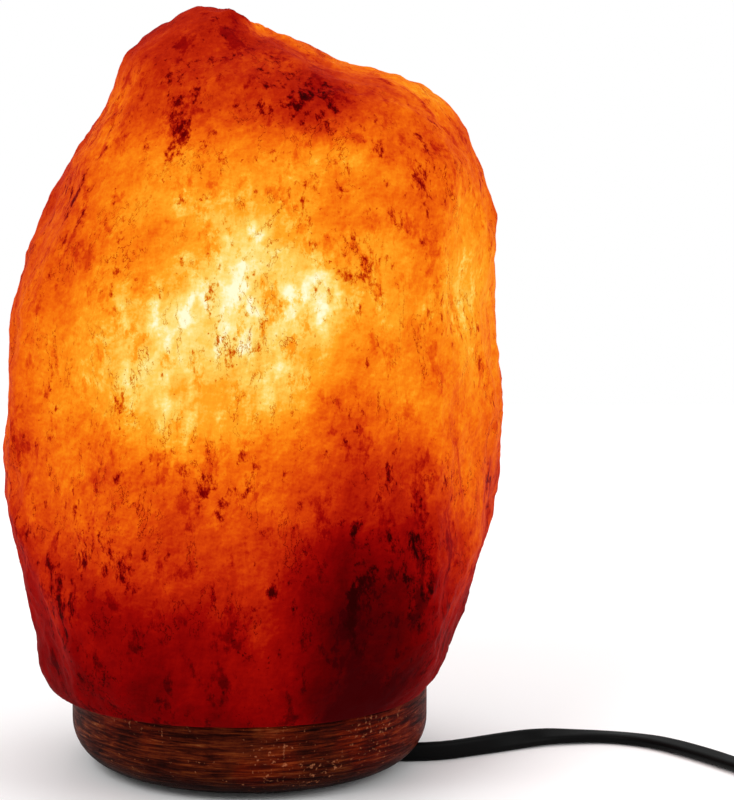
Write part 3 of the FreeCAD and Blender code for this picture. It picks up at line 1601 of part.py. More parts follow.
def make_dimmer_screws():
    """Two screws from below that hold the halves together."""
    body = new_body("dimmer_screws")
    shank, head = size("dimmer_screw_diameter") / 2, size("dimmer_screw_head") / 2
    seat = size("dimmer_wall")
    bottom = seat - size("dimmer_screw_head_height")
    point = ceiling - size("dimmer_screw_margin")
    made = revolve(body, [
        (ZERO, bottom),
        (head, bottom),
        (head, seat),
        (shank, seat),
        (shank, point - shank),
        (ZERO, point),
    ], shift=size("boss_circle_radius"))
    ring_pattern(body, [made], as_size(2))
    return put(body, x=size("dimmer_x"), y=size("dimmer_y"), turn=size("boss_azimuth"))


# ---------------------------------------------------------------------------------------
# Plug, drawn along +X from the end of its relief and then turned to point at -X
# ---------------------------------------------------------------------------------------

shoulder_x = size("plug_relief_length") + size("plug_shoulder_length")
plug_face = shoulder_x + size("plug_grip_length")
blade_foot = plug_face - size("blade_root")


def on_cord_end(made):
    """Move a sub-part of the plug to the end of the cord."""
    place = plug_place()
    half = Rotation(Vector(0, 0, 1), 180)
    made.Placement = Placement(Vector(place.x, place.y, 0), half)
    bind(made, "Placement.Base.z", size("plug_thickness") / 2)
    return made


def blade_sketch(body):
    """The two blades' sections, the narrow one and the wide one."""
    sketch = new_sketch(body, "YZ_Plane", lift=blade_foot)
    for side, width in ((-1, size("blade_width_narrow")), (1, size("blade_width_wide"))):
        draw_outline(sketch, rectangle(size("blade_thickness"), width,
                                       x=size("blade_spacing") * side / 2))
    return sketch


# Radius of the plug's rounded corners as a share of its thickness.
PLUG_ROUND = 0.35


def make_plug_body():
    """The moulded plug: a tapered relief, a shoulder and a grip, with slots for the blades."""
    body = new_body("plug_body")
    wide, thick = size("plug_width"), size("plug_thickness")
    relief, end = size("plug_relief_width"), size("plug_relief_end")
    stations = [
        (ZERO, end, end),
        (size("plug_relief_length"), relief, relief),
        (shoulder_x, wide, thick),
        (plug_face - size("plug_edge"), wide, thick),
        (plug_face, wide - size("plug_edge") * 2, thick - size("plug_edge") * 2),
    ]
    sketches = []
    for station, across, tall in stations:
        sketch = new_sketch(body, "YZ_Plane", lift=station)
        sketches.append(draw_outline(sketch, rounded_rectangle(across, tall, tall * PLUG_ROUND)))
    loft = body.newObject("PartDesign::AdditiveLoft", "plug_loft")
    loft.Profile = sketches[0]
    loft.Sections = sketches[1:]
    loft.Ruled = True
    pocket(body, blade_sketch(body), size("blade_root") + 1)
    return on_cord_end(body)


def make_plug_blades():
    """Two flat brass blades, one wider than the other, moulded into the body."""
    body = new_body("plug_blades")
    pad(body, blade_sketch(body), size("blade_root") + size("blade_length"))
    tip = float(plug_face + size("blade_length"))
    round_edges(body, size("blade_edge"), lambda edge: abs(edge.BoundBox.XMin - tip) < 1e-4
                and edge.BoundBox.ZLength > 1)
    hole = new_sketch(body, "XZ_Plane")
    draw_circle(hole, size("blade_hole_diameter") / 2, x=plug_face + size("blade_hole_reach"))
    made = feature(body, "Pocket", hole, Length=size("plug_width"))
    made.Midplane = True
    return on_cord_end(body)


# ---------------------------------------------------------------------------------------
# Build, check and write
# ---------------------------------------------------------------------------------------

SUB_PARTS = [
    make_wooden_base(), make_base_pads(), make_base_screws(), make_salt_anchors(),
    make_salt_crystal(),
    make_holder_cap(), make_holder_shell(), make_holder_core(), make_screw_shell(),
    make_centre_contact(), make_terminal_screws(), make_spring_clips(), make_holder_wires(),
    make_bulb_cap(), make_bulb_insulator(), make_bulb_tip(), make_bulb_glass(),
    make_bulb_stem(), make_lead_wires(), make_filament(),
    make_inner_cord(), make_cord_run(), make_cord_tail(), make_cord_coil(), make_cord_lead(),
    make_coil_tie(),
    make_dimmer_base(), make_dimmer_cover(), make_dimmer_wheel(), make_dimmer_spindle(),
    make_potentiometer(), make_dimmer_board(), make_dimmer_capacitor(), make_dimmer_choke(),
    make_dimmer_triac(), make_dimmer_terminals(), make_dimmer_wires(), make_dimmer_boots(),
    make_dimmer_screws(),
    make_plug_body(), make_plug_blades(),
]

document.recompute()
for item in document.Objects:
    if {"Invalid", "Error"} & set(item.State):
        raise RuntimeError("%s is %s" % (item.Label, item.State))
for sub_part in SUB_PARTS:
    shape = sub_part.Shape
    if shape.isNull() or not shape.isValid() or not shape.Solids:
        raise RuntimeError(sub_part.Label + " has no valid solid")
for sub_part in SUB_PARTS:
    sub_part.Shape.exportStep("parts/%s.step" % sub_part.Label)
print("%d sub-parts written" % len(SUB_PARTS))
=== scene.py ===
# %% [markdown]
# # A salt crystal lamp
#
# A lump of hewn rock salt stands on a turned wooden base. A small bulb in a bore up its
# middle lights it from inside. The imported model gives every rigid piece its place, and this
# script adds what a solid can't show: the broken surface of the salt and the light in it,
# the grain of the wood, and the flat cord as it lies on the table.

# %% Load the frame
import math

import bmesh
import bpy
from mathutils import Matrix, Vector, noise


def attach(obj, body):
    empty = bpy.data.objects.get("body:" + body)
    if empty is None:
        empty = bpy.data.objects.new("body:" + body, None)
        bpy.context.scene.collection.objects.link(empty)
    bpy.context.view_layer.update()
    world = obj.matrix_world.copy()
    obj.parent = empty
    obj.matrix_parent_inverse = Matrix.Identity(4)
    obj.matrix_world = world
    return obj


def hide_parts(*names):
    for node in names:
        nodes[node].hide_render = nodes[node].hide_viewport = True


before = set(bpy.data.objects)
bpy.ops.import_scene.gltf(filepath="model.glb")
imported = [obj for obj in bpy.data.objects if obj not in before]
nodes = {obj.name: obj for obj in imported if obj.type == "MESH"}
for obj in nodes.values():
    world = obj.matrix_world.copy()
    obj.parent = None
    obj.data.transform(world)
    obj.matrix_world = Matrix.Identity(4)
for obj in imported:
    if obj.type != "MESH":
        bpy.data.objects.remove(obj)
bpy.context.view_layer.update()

# %% [markdown]
# ## The camera
#
# A product picture is taken with a long lens from a few paces away, so the sides of the
# base hardly converge. The camera stands a metre and a half off and looks down by less than
# twelve degrees, which shows the top of the base as a thin strip. A short lens close by
# would swell the front of the crystal and show its flanks at a wrong slant.

# %% Place the camera
FOCAL_LENGTH, SENSOR = 212.15, 36
CAMERA_PLACE = (0.03712, -1.44189, 0.41346)
TILT_FROM_PLUMB = 78.3425

lens = bpy.data.cameras.new("long_lens")
lens.lens, lens.sensor_width = FOCAL_LENGTH, SENSOR
lens.clip_start, lens.clip_end = 0.1, 20
camera = bpy.data.objects.new("camera", lens)
camera.location = CAMERA_PLACE
camera.rotation_euler = (math.radians(TILT_FROM_PLUMB), 0, 0)
bpy.context.scene.collection.objects.link(camera)
bpy.context.scene.camera = camera
print("camera at", CAMERA_PLACE, "looking down by", round(90 - TILT_FROM_PLUMB, 2), "degrees")

# %% [markdown]
# ## The cord
#
# A lamp cord of this kind is flat: two insulated conductors side by side, joined by a thin
# web that leaves a groove along each face. It leaves the slot in the base standing on its
# edge, rolls over within a hand's breadth and then lies flat. The rest of its length is
# wound in a neat coil, as it comes out of the box.
#
# The section is its own small curve, and the line is a NURBS curve that it is swept along.
# The section is drawn with a half width of 1, and the radius of the line's points, half the
# cord's width, brings it to size. The line's control points are close to those of the tube
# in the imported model, so the two agree. The tilt of each point turns the section: a quarter
# turn stands it on its edge.

# %% Draw the cord's section
CORD_WIDTH, CORD_THICKNESS = 0.0061, 0.0031
ARC_START, ARC_STEP, ARC_POINTS = -100, 25, 9


def flat_cord_section():
    """Two round conductors side by side, with a shallow groove between them."""
    core = CORD_THICKNESS / CORD_WIDTH
    offset = 1 - core
    outline = []
    for side, turned in ((1, 0), (-1, math.pi)):
        for step in range(ARC_POINTS):
            angle = math.radians(ARC_START + ARC_STEP * step) + turned
            outline.append((side * offset + core * math.cos(angle), core * math.sin(angle)))
    section = bpy.data.curves.new("cord_section", "CURVE")
    section.dimensions = "2D"
    spline = section.splines.new("POLY")
    spline.points.add(len(outline) - 1)
    for point, (x, y) in zip(spline.points, outline):
        point.co = (x, y, 0, 1)
    spline.use_cyclic_u = True
    return bpy.data.objects.new("cord_section", section)


cord_section = flat_cord_section()
print("cord section:", len(cord_section.data.splines[0].points), "points")

# %% Sweep a cord along its control points
ON_EDGE, FLAT = math.radians(90), 0.0


def lay_cord(name, route):
    """A flat cord along (x, y, z, tilt) control points."""
    line = bpy.data.curves.new(name, "CURVE")
    line.dimensions = "3D"
    line.twist_mode = "Z_UP"
    line.bevel_mode = "OBJECT"
    line.bevel_object = cord_section
    line.use_fill_caps = True
    line.resolution_u = 5
    spline = line.splines.new("NURBS")
    spline.points.add(len(route) - 1)
    for point, (x, y, z, tilt) in zip(spline.points, route):
        point.co = (x, y, z, 1)
        point.tilt = tilt
        point.radius = CORD_WIDTH / 2
    spline.order_u = 3
    spline.use_endpoint_u = True
    cord = bpy.data.objects.new(name, line)
    bpy.context.scene.collection.objects.link(cord)
    return cord


# %% The run from the base to the dimmer
SLOT = math.radians(-5)
INSIDE_BASE, AT_RIM = 0.038, 0.0565
EDGE_Z = CORD_WIDTH / 2
run_route = [
    (INSIDE_BASE * math.cos(SLOT), INSIDE_BASE * math.sin(SLOT), EDGE_Z, ON_EDGE),
    (AT_RIM * math.cos(SLOT), AT_RIM * math.sin(SLOT), EDGE_Z, ON_EDGE),
    (0.0750, 0.0050, EDGE_Z, ON_EDGE * 0.95),
    (0.0920, 0.0152, 0.0028, ON_EDGE * 0.44),
    (0.1020, 0.0178, 0.0023, ON_EDGE * 0.15),
    (0.1125, 0.0190, 0.0018, FLAT),
    (0.1225, 0.0163, 0.0018, FLAT),
    (0.1320, 0.0100, 0.0021, ON_EDGE * 0.09),
    (0.1440, -0.0036, 0.0023, ON_EDGE * 0.12),
    (0.1545, -0.0175, 0.0023, ON_EDGE * 0.10),
    (0.1650, -0.0305, 0.0027, ON_EDGE * 0.05),
    (0.1800, -0.0390, 0.0050, FLAT),
    (0.1950, -0.0415, 0.0072, FLAT),
    (0.2080, -0.0415, 0.0072, FLAT),
]
run_cord = lay_cord("run_cord", run_route)
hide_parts("cord_run")
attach(run_cord, "lamp")
print("cord to the dimmer:", len(run_route), "control points")

# %% [markdown]
# The coil is worked out turn by turn. It winds inwards on the table, climbs at its middle
# and winds outwards on top, so that both ends come out at the rim. Counting in quarter turns
# keeps the sums plain. A NURBS line of order 3 runs a little inside its control points, by a
# share that follows from their number in a turn, so their radius is made larger by it.

# %% The turns of the coil
COIL_X, COIL_Y, COIL_RADIUS = 0.3167, 0.0160, 0.0355
COIL_PITCH, LOW_LAYER, HIGH_LAYER = 0.0034, 0.0034, 0.0097
POINTS_PER_TURN = 16
QUARTERS_IN, QUARTERS_CLIMB, QUARTERS_OUT = 13, 2, 14
CLIMB_DIP = 0.0017
LINE_SHARE = (6 + 2 * math.cos(math.tau / POINTS_PER_TURN)) / 8


def coil_point(quarters):
    """A control point of the coil, at a number of quarter turns from its start."""
    inner = COIL_RADIUS - COIL_PITCH * QUARTERS_IN / 4
    after_climb = quarters - QUARTERS_IN - QUARTERS_CLIMB
    if quarters <= QUARTERS_IN:
        radius, height = COIL_RADIUS - COIL_PITCH * quarters / 4, LOW_LAYER
    elif after_climb < 0:
        share = (quarters - QUARTERS_IN) / QUARTERS_CLIMB
        radius = inner - CLIMB_DIP * math.sin(math.pi * share)
        height = LOW_LAYER + (HIGH_LAYER - LOW_LAYER) * (1 - math.cos(math.pi * share)) / 2
    else:
        radius, height = inner + COIL_PITCH * after_climb / 4, HIGH_LAYER
    radius /= LINE_SHARE
    angle = math.radians(90 * quarters)
    return (COIL_X + radius * math.cos(angle), COIL_Y + radius * math.sin(angle),
            height, ON_EDGE)


# %% Lay the coiled cord
tail_route = [
    (0.3140, -0.0415, 0.0072, FLAT),
    (0.3290, -0.0415, 0.0072, ON_EDGE * 0.3),
    (0.3437, -0.0330, 0.0063, ON_EDGE * 0.8),
    (0.3522, -0.0183, 0.0049, ON_EDGE),
    (0.3522, -0.0010, LOW_LAYER, ON_EDGE),
    (0.3522, 0.0105, LOW_LAYER, ON_EDGE),
]
POINT_STEP = 4 / POINTS_PER_TURN
all_quarters = QUARTERS_IN + QUARTERS_CLIMB + QUARTERS_OUT
coil_route = [coil_point(n * POINT_STEP) for n in range(1, round(all_quarters / POINT_STEP))]
LEAD_Y, PLUG_Z = 0.05235, 0.00825
lead_route = [
    (0.3112, LEAD_Y, HIGH_LAYER, ON_EDGE),
    (0.2992, LEAD_Y, HIGH_LAYER, ON_EDGE),
    (0.2832, LEAD_Y, PLUG_Z, ON_EDGE * 0.4),
    (0.2712, LEAD_Y, PLUG_Z, FLAT),
]
coiled_cord = lay_cord("coiled_cord", tail_route + coil_route + lead_route)
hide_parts("cord_tail", "cord_coil", "cord_lead")
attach(coiled_cord, "lamp")
print("coil:", len(coil_route), "control points over", all_quarters / 4, "turns")

# %% [markdown]
# ## The crystal
#
# The crystal is split from a salt bed and dressed with a hatchet. Broad cleavage faces meet
# in soft ridges, and each face carries shallow scoops, small steps and pits. Hands and damp
# air round the edges within weeks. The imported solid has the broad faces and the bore, so
# its mesh is the start.
#
# A displacement image would need a map and unwrapping, and sculpting can't be repeated from
# a script. Here a voxel remesh gives an even skin, and every point is then moved along its
# normal by noise worked out at its place. The bore and the seat keep their true size.

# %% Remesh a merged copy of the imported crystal
MERGE_WITHIN = 1e-5


def even_skin(node, name, voxel):
    """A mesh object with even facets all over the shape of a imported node."""
    bm = bmesh.new()
    bm.from_mesh(nodes[node].data)
    bmesh.ops.remove_doubles(bm, verts=bm.verts, dist=MERGE_WITHIN)
    mesh = bpy.data.meshes.new(name)
    bm.to_mesh(mesh)
    bm.free()
    skin = bpy.data.objects.new(name, mesh)
    bpy.context.scene.collection.objects.link(skin)
    remesh = skin.modifiers.new("even_skin", "REMESH")
    remesh.mode = "VOXEL"
    remesh.voxel_size = voxel
    graph = bpy.context.evaluated_depsgraph_get()
    skin.data = bpy.data.meshes.new_from_object(skin.evaluated_get(graph))
    skin.modifiers.clear()
    return skin


crystal = even_skin("salt_crystal", "crystal", voxel=0.0015)
print("crystal skin:", len(crystal.data.vertices), "points")

# %% [markdown]
# Four kinds of relief make the surface. Swells shape the broad outline. Wide scoops
# come from the distance to scattered cell centres: each blow lifted a shell and left a hollow
# with a rim. Rolling noise breaks up the flat faces, and a finer noise leaves steps and pits.
# Each entry has a size and a height in metres.
#
# Nothing moves inside the bore, and the relief fades in above the seat on the base. Blender
# starts its vector noise from the clock, so a seed is set to get the same stone on every run.

# %% The forms of the broken surface
SCOOPS = [(0.024, 0.0008), (0.010, 0.0005)]
ROLLS = [(0.020, 0.0009), (0.007, 0.0005), (0.0028, 0.00022)]
SWELLS = [
    ((-0.082, -0.010, 0.095), (0.040, 0.090, 0.075), -0.0018),
    ((0.072, -0.010, 0.040), (0.030, 0.090, 0.050), -0.0030),
    ((-0.072, -0.020, 0.040), (0.030, 0.060, 0.024), -0.0016),
    ((-0.004, 0.000, 0.238), (0.012, 0.050, 0.008), -0.0014),
    ((0.013, 0.000, 0.229), (0.014, 0.050, 0.012), 0.0022),
    ((0.033, 0.000, 0.224), (0.014, 0.050, 0.012), -0.0016),
]
WARP_SIZE, WARP = 0.03, 0.006
RIM_SHARPNESS = 2.0
LIFT = 0.0004
BORE_RADIUS, BORE_TOP = 0.0245, 0.172
SEAT, SEAT_BLEND = 0.028, 0.004
noise.seed_set(4)


def swell(place):
    """Broad hollows and bulges, each an ellipsoid: its middle, half lengths and height."""
    height = 0.0
    for centre, radii, amount in SWELLS:
        away = math.hypot(*((p - c) / r for p, c, r in zip(place, centre, radii)))
        if away < 1.0:
            height += amount * (1 - away * away) ** 2
    return height


def relief(place):
    """How far the surface stands out of, or falls below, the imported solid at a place."""
    bent = place + WARP * noise.noise_vector(place / WARP_SIZE)
    height = swell(place)
    for size, depth in SCOOPS:
        near, next_near = noise.voronoi(bent / size)[0][:2]
        height -= depth * min(1.0, RIM_SHARPNESS * (next_near - near))
    for size, depth in ROLLS:
        height += depth * noise.noise(bent / size)
    return height + LIFT


# %% Break the surface
def break_surface(skin):
    """Moves every outside point of the crystal along its normal by the relief."""
    moved = []
    for vertex in skin.data.vertices:
        place = vertex.co.copy()
        in_bore = math.hypot(place.x, place.y) < BORE_RADIUS and place.z < BORE_TOP
        share = 0.0 if in_bore else min(1.0, max(0.0, (place.z - SEAT) / SEAT_BLEND))
        moved.append(place + vertex.normal * relief(place) * share if share else place)
    for vertex, place in zip(skin.data.vertices, moved):
        vertex.co = place
    skin.data.update()
    skin.data.shade_smooth()


break_surface(crystal)
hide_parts("salt_crystal")
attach(crystal, "lamp")
print("crystal:", sum(len(f.vertices) - 2 for f in crystal.data.polygons), "triangles")

# %% [markdown]
# ## Materials
#
# Small helpers keep the node trees readable. `node` makes one shader node and sets its
# properties or its inputs by name, and `srgb` turns a colour as a screen shows it into the
# linear values that a socket holds.

# %% Helpers for materials
def srgb(red, green, blue):
    """A screen colour from 0 to 255 as linear values with alpha."""
    linear = [c / 12.92 if c <= 0.04045 else ((c + 0.055) / 1.055) ** 2.4
              for c in (red / 255, green / 255, blue / 255)]
    return (*linear, 1.0)


def node(tree, kind, **values):
    """A shader node whose attributes and inputs are set by name."""
    made = tree.nodes.new("ShaderNode" + kind)
    for name, value in values.items():
        if hasattr(made, name):
            setattr(made, name, value)
        else:
            made.inputs[name.replace("_", " ")].default_value = value
    return made


def ramp(tree, factor, stops):
    """A colour ramp over a factor, from (position, colour) stops."""
    made = node(tree, "ValToRGB")
    elements = made.color_ramp.elements
    while len(elements) < len(stops):
        elements.new(0.5)
    for element, (position, colour) in zip(elements, stops):
        element.position = position
        element.color = colour
    tree.links.new(factor, made.inputs["Fac"])
    return made.outputs["Color"]


def math_node(tree, operation, *operands, clamp=False):
    """A maths node over numbers and sockets."""
    made = node(tree, "Math", operation=operation, use_clamp=clamp)
    for socket, operand in zip(made.inputs, operands):
        if isinstance(operand, bpy.types.NodeSocket):
            tree.links.new(operand, socket)
        else:
            socket.default_value = operand
    return made.outputs["Value"]


def smooth(tree, value, low, high, to_low=0.0, to_high=1.0):
    """A soft step from one value to another."""
    made = node(tree, "MapRange", interpolation_type="SMOOTHSTEP")
    tree.links.new(value, made.inputs["Value"])
    for name, number in (("From Min", low), ("From Max", high),
                         ("To Min", to_low), ("To Max", to_high)):
        made.inputs[name].default_value = number
    return made.outputs["Result"]


def object_coordinates(tree, scale=(1, 1, 1), location=(0, 0, 0)):
    """The place on the object in metres, moved and stretched."""
    source = node(tree, "TexCoord")
    mapping = node(tree, "Mapping")
    mapping.inputs["Scale"].default_value = scale
    mapping.inputs["Location"].default_value = location
    tree.links.new(source.outputs["Object"], mapping.inputs["Vector"])
    return mapping.outputs["Vector"]


def noise_at(tree, vector, scale, detail=4.0, roughness=0.55, distortion=0.0):
    """Noise over a vector, from 0 to 1."""
    made = node(tree, "TexNoise", Scale=scale, Detail=detail, Roughness=roughness,
                Distortion=distortion)
    tree.links.new(vector, made.inputs["Vector"])
    return made.outputs["Fac"]


def bump(tree, height, distance, strength=1.0):
    """A bump from a height between 0 and 1 that stands for a distance in metres."""
    made = node(tree, "Bump", Strength=strength, Distance=distance)
    tree.links.new(height, made.inputs["Height"])
    return made.outputs["Normal"]


def new_material(name, **shader):
    """A material, its node tree and its Principled shader with constants set."""
    material = bpy.data.materials.new(name)
    material.use_nodes = True
    tree = material.node_tree
    principled = tree.nodes["Principled BSDF"]
    for socket, value in shader.items():
        principled.inputs[socket.replace("_", " ")].default_value = value
    return material, tree, principled


def wear(material, *objects):
    """Gives objects one material all over."""
    for target in objects:
        target.data.materials.clear()
        target.data.materials.append(material)


print("material helpers ready")

# %% [markdown]
# ### Lit rock salt
#
# Inside the lamp the bulb's light scatters through centimetres of cloudy salt. What reaches
# the eye depends on how much salt is on the way: pale yellow in front of the bulb, orange
# further out, and deep red where the salt is thick or full of clay. Real scattering in a
# volume would take thousands of samples and couldn't be exported, so the colour is worked
# out from the place in the crystal: the distance from the bulb, clouds of noise, bodies of
# red clay that soak the light up, and painted shade low down where the bulb holder blocks
# the light.

# %% Soft bodies inside the crystal
def soft_body(tree, vector, centre, radii):
    """1 at the middle of an ellipsoid, falling softly to 0 at its skin."""
    moved = node(tree, "Mapping", vector_type="TEXTURE")
    moved.inputs["Location"].default_value = centre
    moved.inputs["Scale"].default_value = radii
    tree.links.new(vector, moved.inputs["Vector"])
    length = node(tree, "VectorMath", operation="LENGTH")
    tree.links.new(moved.outputs["Vector"], length.inputs[0])
    return smooth(tree, length.outputs["Value"], 1.0, 0.2)


def add_bodies(tree, vector, value, bodies):
    """A value with the amount of each soft body added where the body lies."""
    for centre, radii, amount in bodies:
        value = math_node(tree, "MULTIPLY_ADD", soft_body(tree, vector, centre, radii),
                          amount, value)
    return value


def add_share(tree, value, mask, amount):
    """A value moved up or down by a mask that is 0.5 where it changes nothing."""
    centred = math_node(tree, "SUBTRACT", mask, 0.5)
    return math_node(tree, "MULTIPLY_ADD", centred, amount, value)


# %% [markdown]
# The light falls off by the same share for each centimetre of salt, which is an exponential
# of the distance from the brightest place. Bodies of clay take light away, and so does the
# painted shade of the bulb holder low in the crystal; thin edges add some. Each is an
# ellipsoid: its middle, its half lengths and its amount.

# %% Where the crystal glows
BRIGHTEST = (-0.001, -0.020, 0.148)
FULL_REACH, FADE = 0.0328, 0.072
BODIES = [
    ((0.037, -0.055, 0.062), (0.034, 0.050, 0.068), -0.22),
    ((0.028, -0.050, 0.113), (0.036, 0.050, 0.022), -0.14),
    ((0.020, -0.045, 0.214), (0.017, 0.040, 0.017), -0.15),
    ((0.010, -0.060, 0.036), (0.050, 0.040, 0.026), -0.06),
    ((-0.060, -0.020, 0.176), (0.026, 0.060, 0.044), -0.12),
    ((-0.010, -0.040, 0.188), (0.070, 0.050, 0.028), 0.10),
    ((0.029, -0.045, 0.165), (0.028, 0.050, 0.032), 0.13),
    ((0.030, -0.040, 0.202), (0.050, 0.050, 0.024), 0.10),
    ((-0.030, -0.050, 0.142), (0.028, 0.050, 0.025), 0.16),
    ((-0.017, -0.055, 0.118), (0.026, 0.050, 0.018), 0.12),
    ((-0.045, -0.050, 0.086), (0.042, 0.050, 0.040), 0.11),
    ((0.066, -0.010, 0.082), (0.022, 0.080, 0.050), 0.10),
    ((0.078, -0.005, 0.150), (0.042, 0.080, 0.100), 0.14),
    ((0.052, 0.005, 0.218), (0.032, 0.050, 0.024), 0.22),
    ((0.000, 0.075, 0.140), (0.100, 0.060, 0.100), 0.26),
    ((-0.024, -0.050, 0.172), (0.026, 0.050, 0.016), -0.12),
    ((0.034, -0.045, 0.184), (0.018, 0.050, 0.013), -0.12),
    ((-0.062, -0.030, 0.104), (0.024, 0.060, 0.030), 0.08),
    ((0.018, -0.060, 0.042), (0.030, 0.040, 0.026), 0.05),
    ((0.067, -0.014, 0.174), (0.022, 0.060, 0.046), 0.07),
    ((0.052, -0.010, 0.212), (0.018, 0.040, 0.016), 0.09),
]
CREST = [
    ((0.006, 0.004, 0.2330), (0.018, 0.022, 0.0060), 0.30),
    ((0.022, 0.004, 0.2290), (0.018, 0.022, 0.0060), 0.26),
    ((0.037, 0.006, 0.2240), (0.018, 0.024, 0.0060), 0.26),
    ((-0.040, 0.010, 0.2130), (0.008, 0.060, 0.0180), 0.12),
]
GLOW_COLOURS = [
    (0.00, srgb(58, 0, 2)),
    (0.10, srgb(88, 0, 1)),
    (0.20, srgb(124, 1, 2)),
    (0.30, srgb(154, 9, 3)),
    (0.40, srgb(188, 37, 6)),
    (0.50, srgb(216, 68, 8)),
    (0.60, srgb(239, 102, 10)),
    (0.70, srgb(250, 135, 18)),
    (0.80, srgb(251, 165, 36)),
    (0.88, srgb(250, 202, 86)),
    (0.94, srgb(251, 226, 134)),
    (1.00, srgb(255, 250, 208)),
]

print("glow bodies:", len(BODIES) + len(CREST), "- colours:", len(GLOW_COLOURS))

# %% [markdown]
# Every body would show as a clean egg if it were measured from the true place. So the place
# is first pushed about by a noise of a few centimetres, which gives the bodies ragged edges.
# Only the bright crest follows the true place, because it has to lie along the top edge.

# %% Bend the place, then add up the light
DRIFT_SCALE, DRIFT = 30.0, 0.030
CORE_SHAPE = (1.0, 1.0, 0.8)

salt, tree, shader = new_material("lit_rock_salt", Roughness=0.6, Specular_IOR_Level=0.006,
                                  Emission_Strength=1.0)
place = object_coordinates(tree)
drift = node(tree, "TexNoise", Scale=DRIFT_SCALE, Detail=6.0, Roughness=0.62)
tree.links.new(place, drift.inputs["Vector"])
centred_drift = node(tree, "VectorMath", operation="SUBTRACT")
tree.links.new(drift.outputs["Color"], centred_drift.inputs[0])
centred_drift.inputs[1].default_value = (0.5, 0.5, 0.5)
bend = node(tree, "VectorMath", operation="MULTIPLY_ADD")
tree.links.new(centred_drift.outputs["Vector"], bend.inputs[0])
bend.inputs[1].default_value = (DRIFT, DRIFT, DRIFT)
tree.links.new(place, bend.inputs[2])
bent = bend.outputs["Vector"]

reach = node(tree, "Mapping", vector_type="TEXTURE")
reach.inputs["Location"].default_value = BRIGHTEST
reach.inputs["Scale"].default_value = CORE_SHAPE
tree.links.new(bent, reach.inputs["Vector"])
distance = node(tree, "VectorMath", operation="LENGTH")
tree.links.new(reach.outputs["Vector"], distance.inputs[0])
fall = math_node(tree, "MULTIPLY_ADD", distance.outputs["Value"], -1 / FADE, FULL_REACH / FADE)
glow = math_node(tree, "EXPONENT", fall)
glow = add_bodies(tree, bent, glow, BODIES)
glow = add_bodies(tree, place, glow, CREST)
print("light added up in", len(tree.nodes), "nodes")

# %% [markdown]
# Cloudy salt is never even. Wide clouds lie upright with the bed's layers, clear columns
# shine in the brightest part, and crumbs and grains show everywhere. The hewn skin catches
# the light from within on one side of each small bump: the slope of a noise, which is its
# value less its value a little further up, draws that without any real facets. Where little
# light comes through the fine forms fade, and in the glare in front of the bulb as well.

# %% Clouds, crumbs and grains
CLOUD_SHARE, CRUMB_SHARE, GRAIN_SHARE, CLEAR_SHARE = 0.34, 0.24, 0.11, 0.10
PAINTED_BUMP_LIGHT = [
    (90.0, (-0.0010, 0.0, 0.0018), 0.26),
    (320.0, (-0.0004, 0.0, 0.0006), 0.32),
]


def slope(tree, vector, scale, shift):
    """How far a noise falls over a small shift, about 0 where it is level."""
    moved = node(tree, "VectorMath", operation="ADD")
    tree.links.new(vector, moved.inputs[0])
    moved.inputs[1].default_value = shift
    here, there = (noise_at(tree, spot, scale, detail=6.0, roughness=0.6)
                   for spot in (vector, moved.outputs["Vector"]))
    return math_node(tree, "SUBTRACT", here, there)


upright = object_coordinates(tree, scale=(1.0, 1.0, 0.55))
clouds = noise_at(tree, upright, 46.0, detail=6.0, roughness=0.57, distortion=0.3)
crumbs = noise_at(tree, upright, 160.0, detail=8.0, roughness=0.66, distortion=0.5)
grains = noise_at(tree, place, 650.0, detail=5.0, roughness=0.75)
glow = add_share(tree, glow, clouds, CLOUD_SHARE)
fine = add_share(tree, 0.0, crumbs, CRUMB_SHARE)
fine = add_share(tree, fine, grains, GRAIN_SHARE)
# Painted light and shade: each small bump is lighter on one side, as if lit from within.
for scale, shift, amount in PAINTED_BUMP_LIGHT:
    fine = math_node(tree, "MULTIPLY_ADD", slope(tree, place, scale, shift), amount, fine)
liveliness = math_node(tree, "MULTIPLY", smooth(tree, glow, 0.10, 0.60, 0.35, 0.95),
                       smooth(tree, glow, 0.62, 0.92, 1.0, 0.50))
glow = math_node(tree, "MULTIPLY_ADD", fine, liveliness, glow)
columns = object_coordinates(tree, scale=(1.0, 1.0, 0.5))
clear = smooth(tree, noise_at(tree, columns, 165.0, detail=3.0, roughness=0.5), 0.44, 0.66)
in_core = smooth(tree, glow, 0.66, 0.90)
clear = math_node(tree, "MULTIPLY", clear, in_core)
glow = math_node(tree, "MULTIPLY_ADD", clear, CLEAR_SHARE, glow)
print("rock salt so far:", len(tree.nodes), "shader nodes")

# %% [markdown]
# Iron clay sits in the salt as stains, flecks, specks and hairs. Stains are soft and small.
# Flecks gather in clusters, and in upright strings along the ridges on the right. Cracks run
# as dark hairs: the places where a noise passes through its middle value form thin lines. All
# of them take light away before the colour is chosen, and the dense ones darken it as well.
# The bodies below say where flecks gather, and the last one keeps the foot nearly clear.

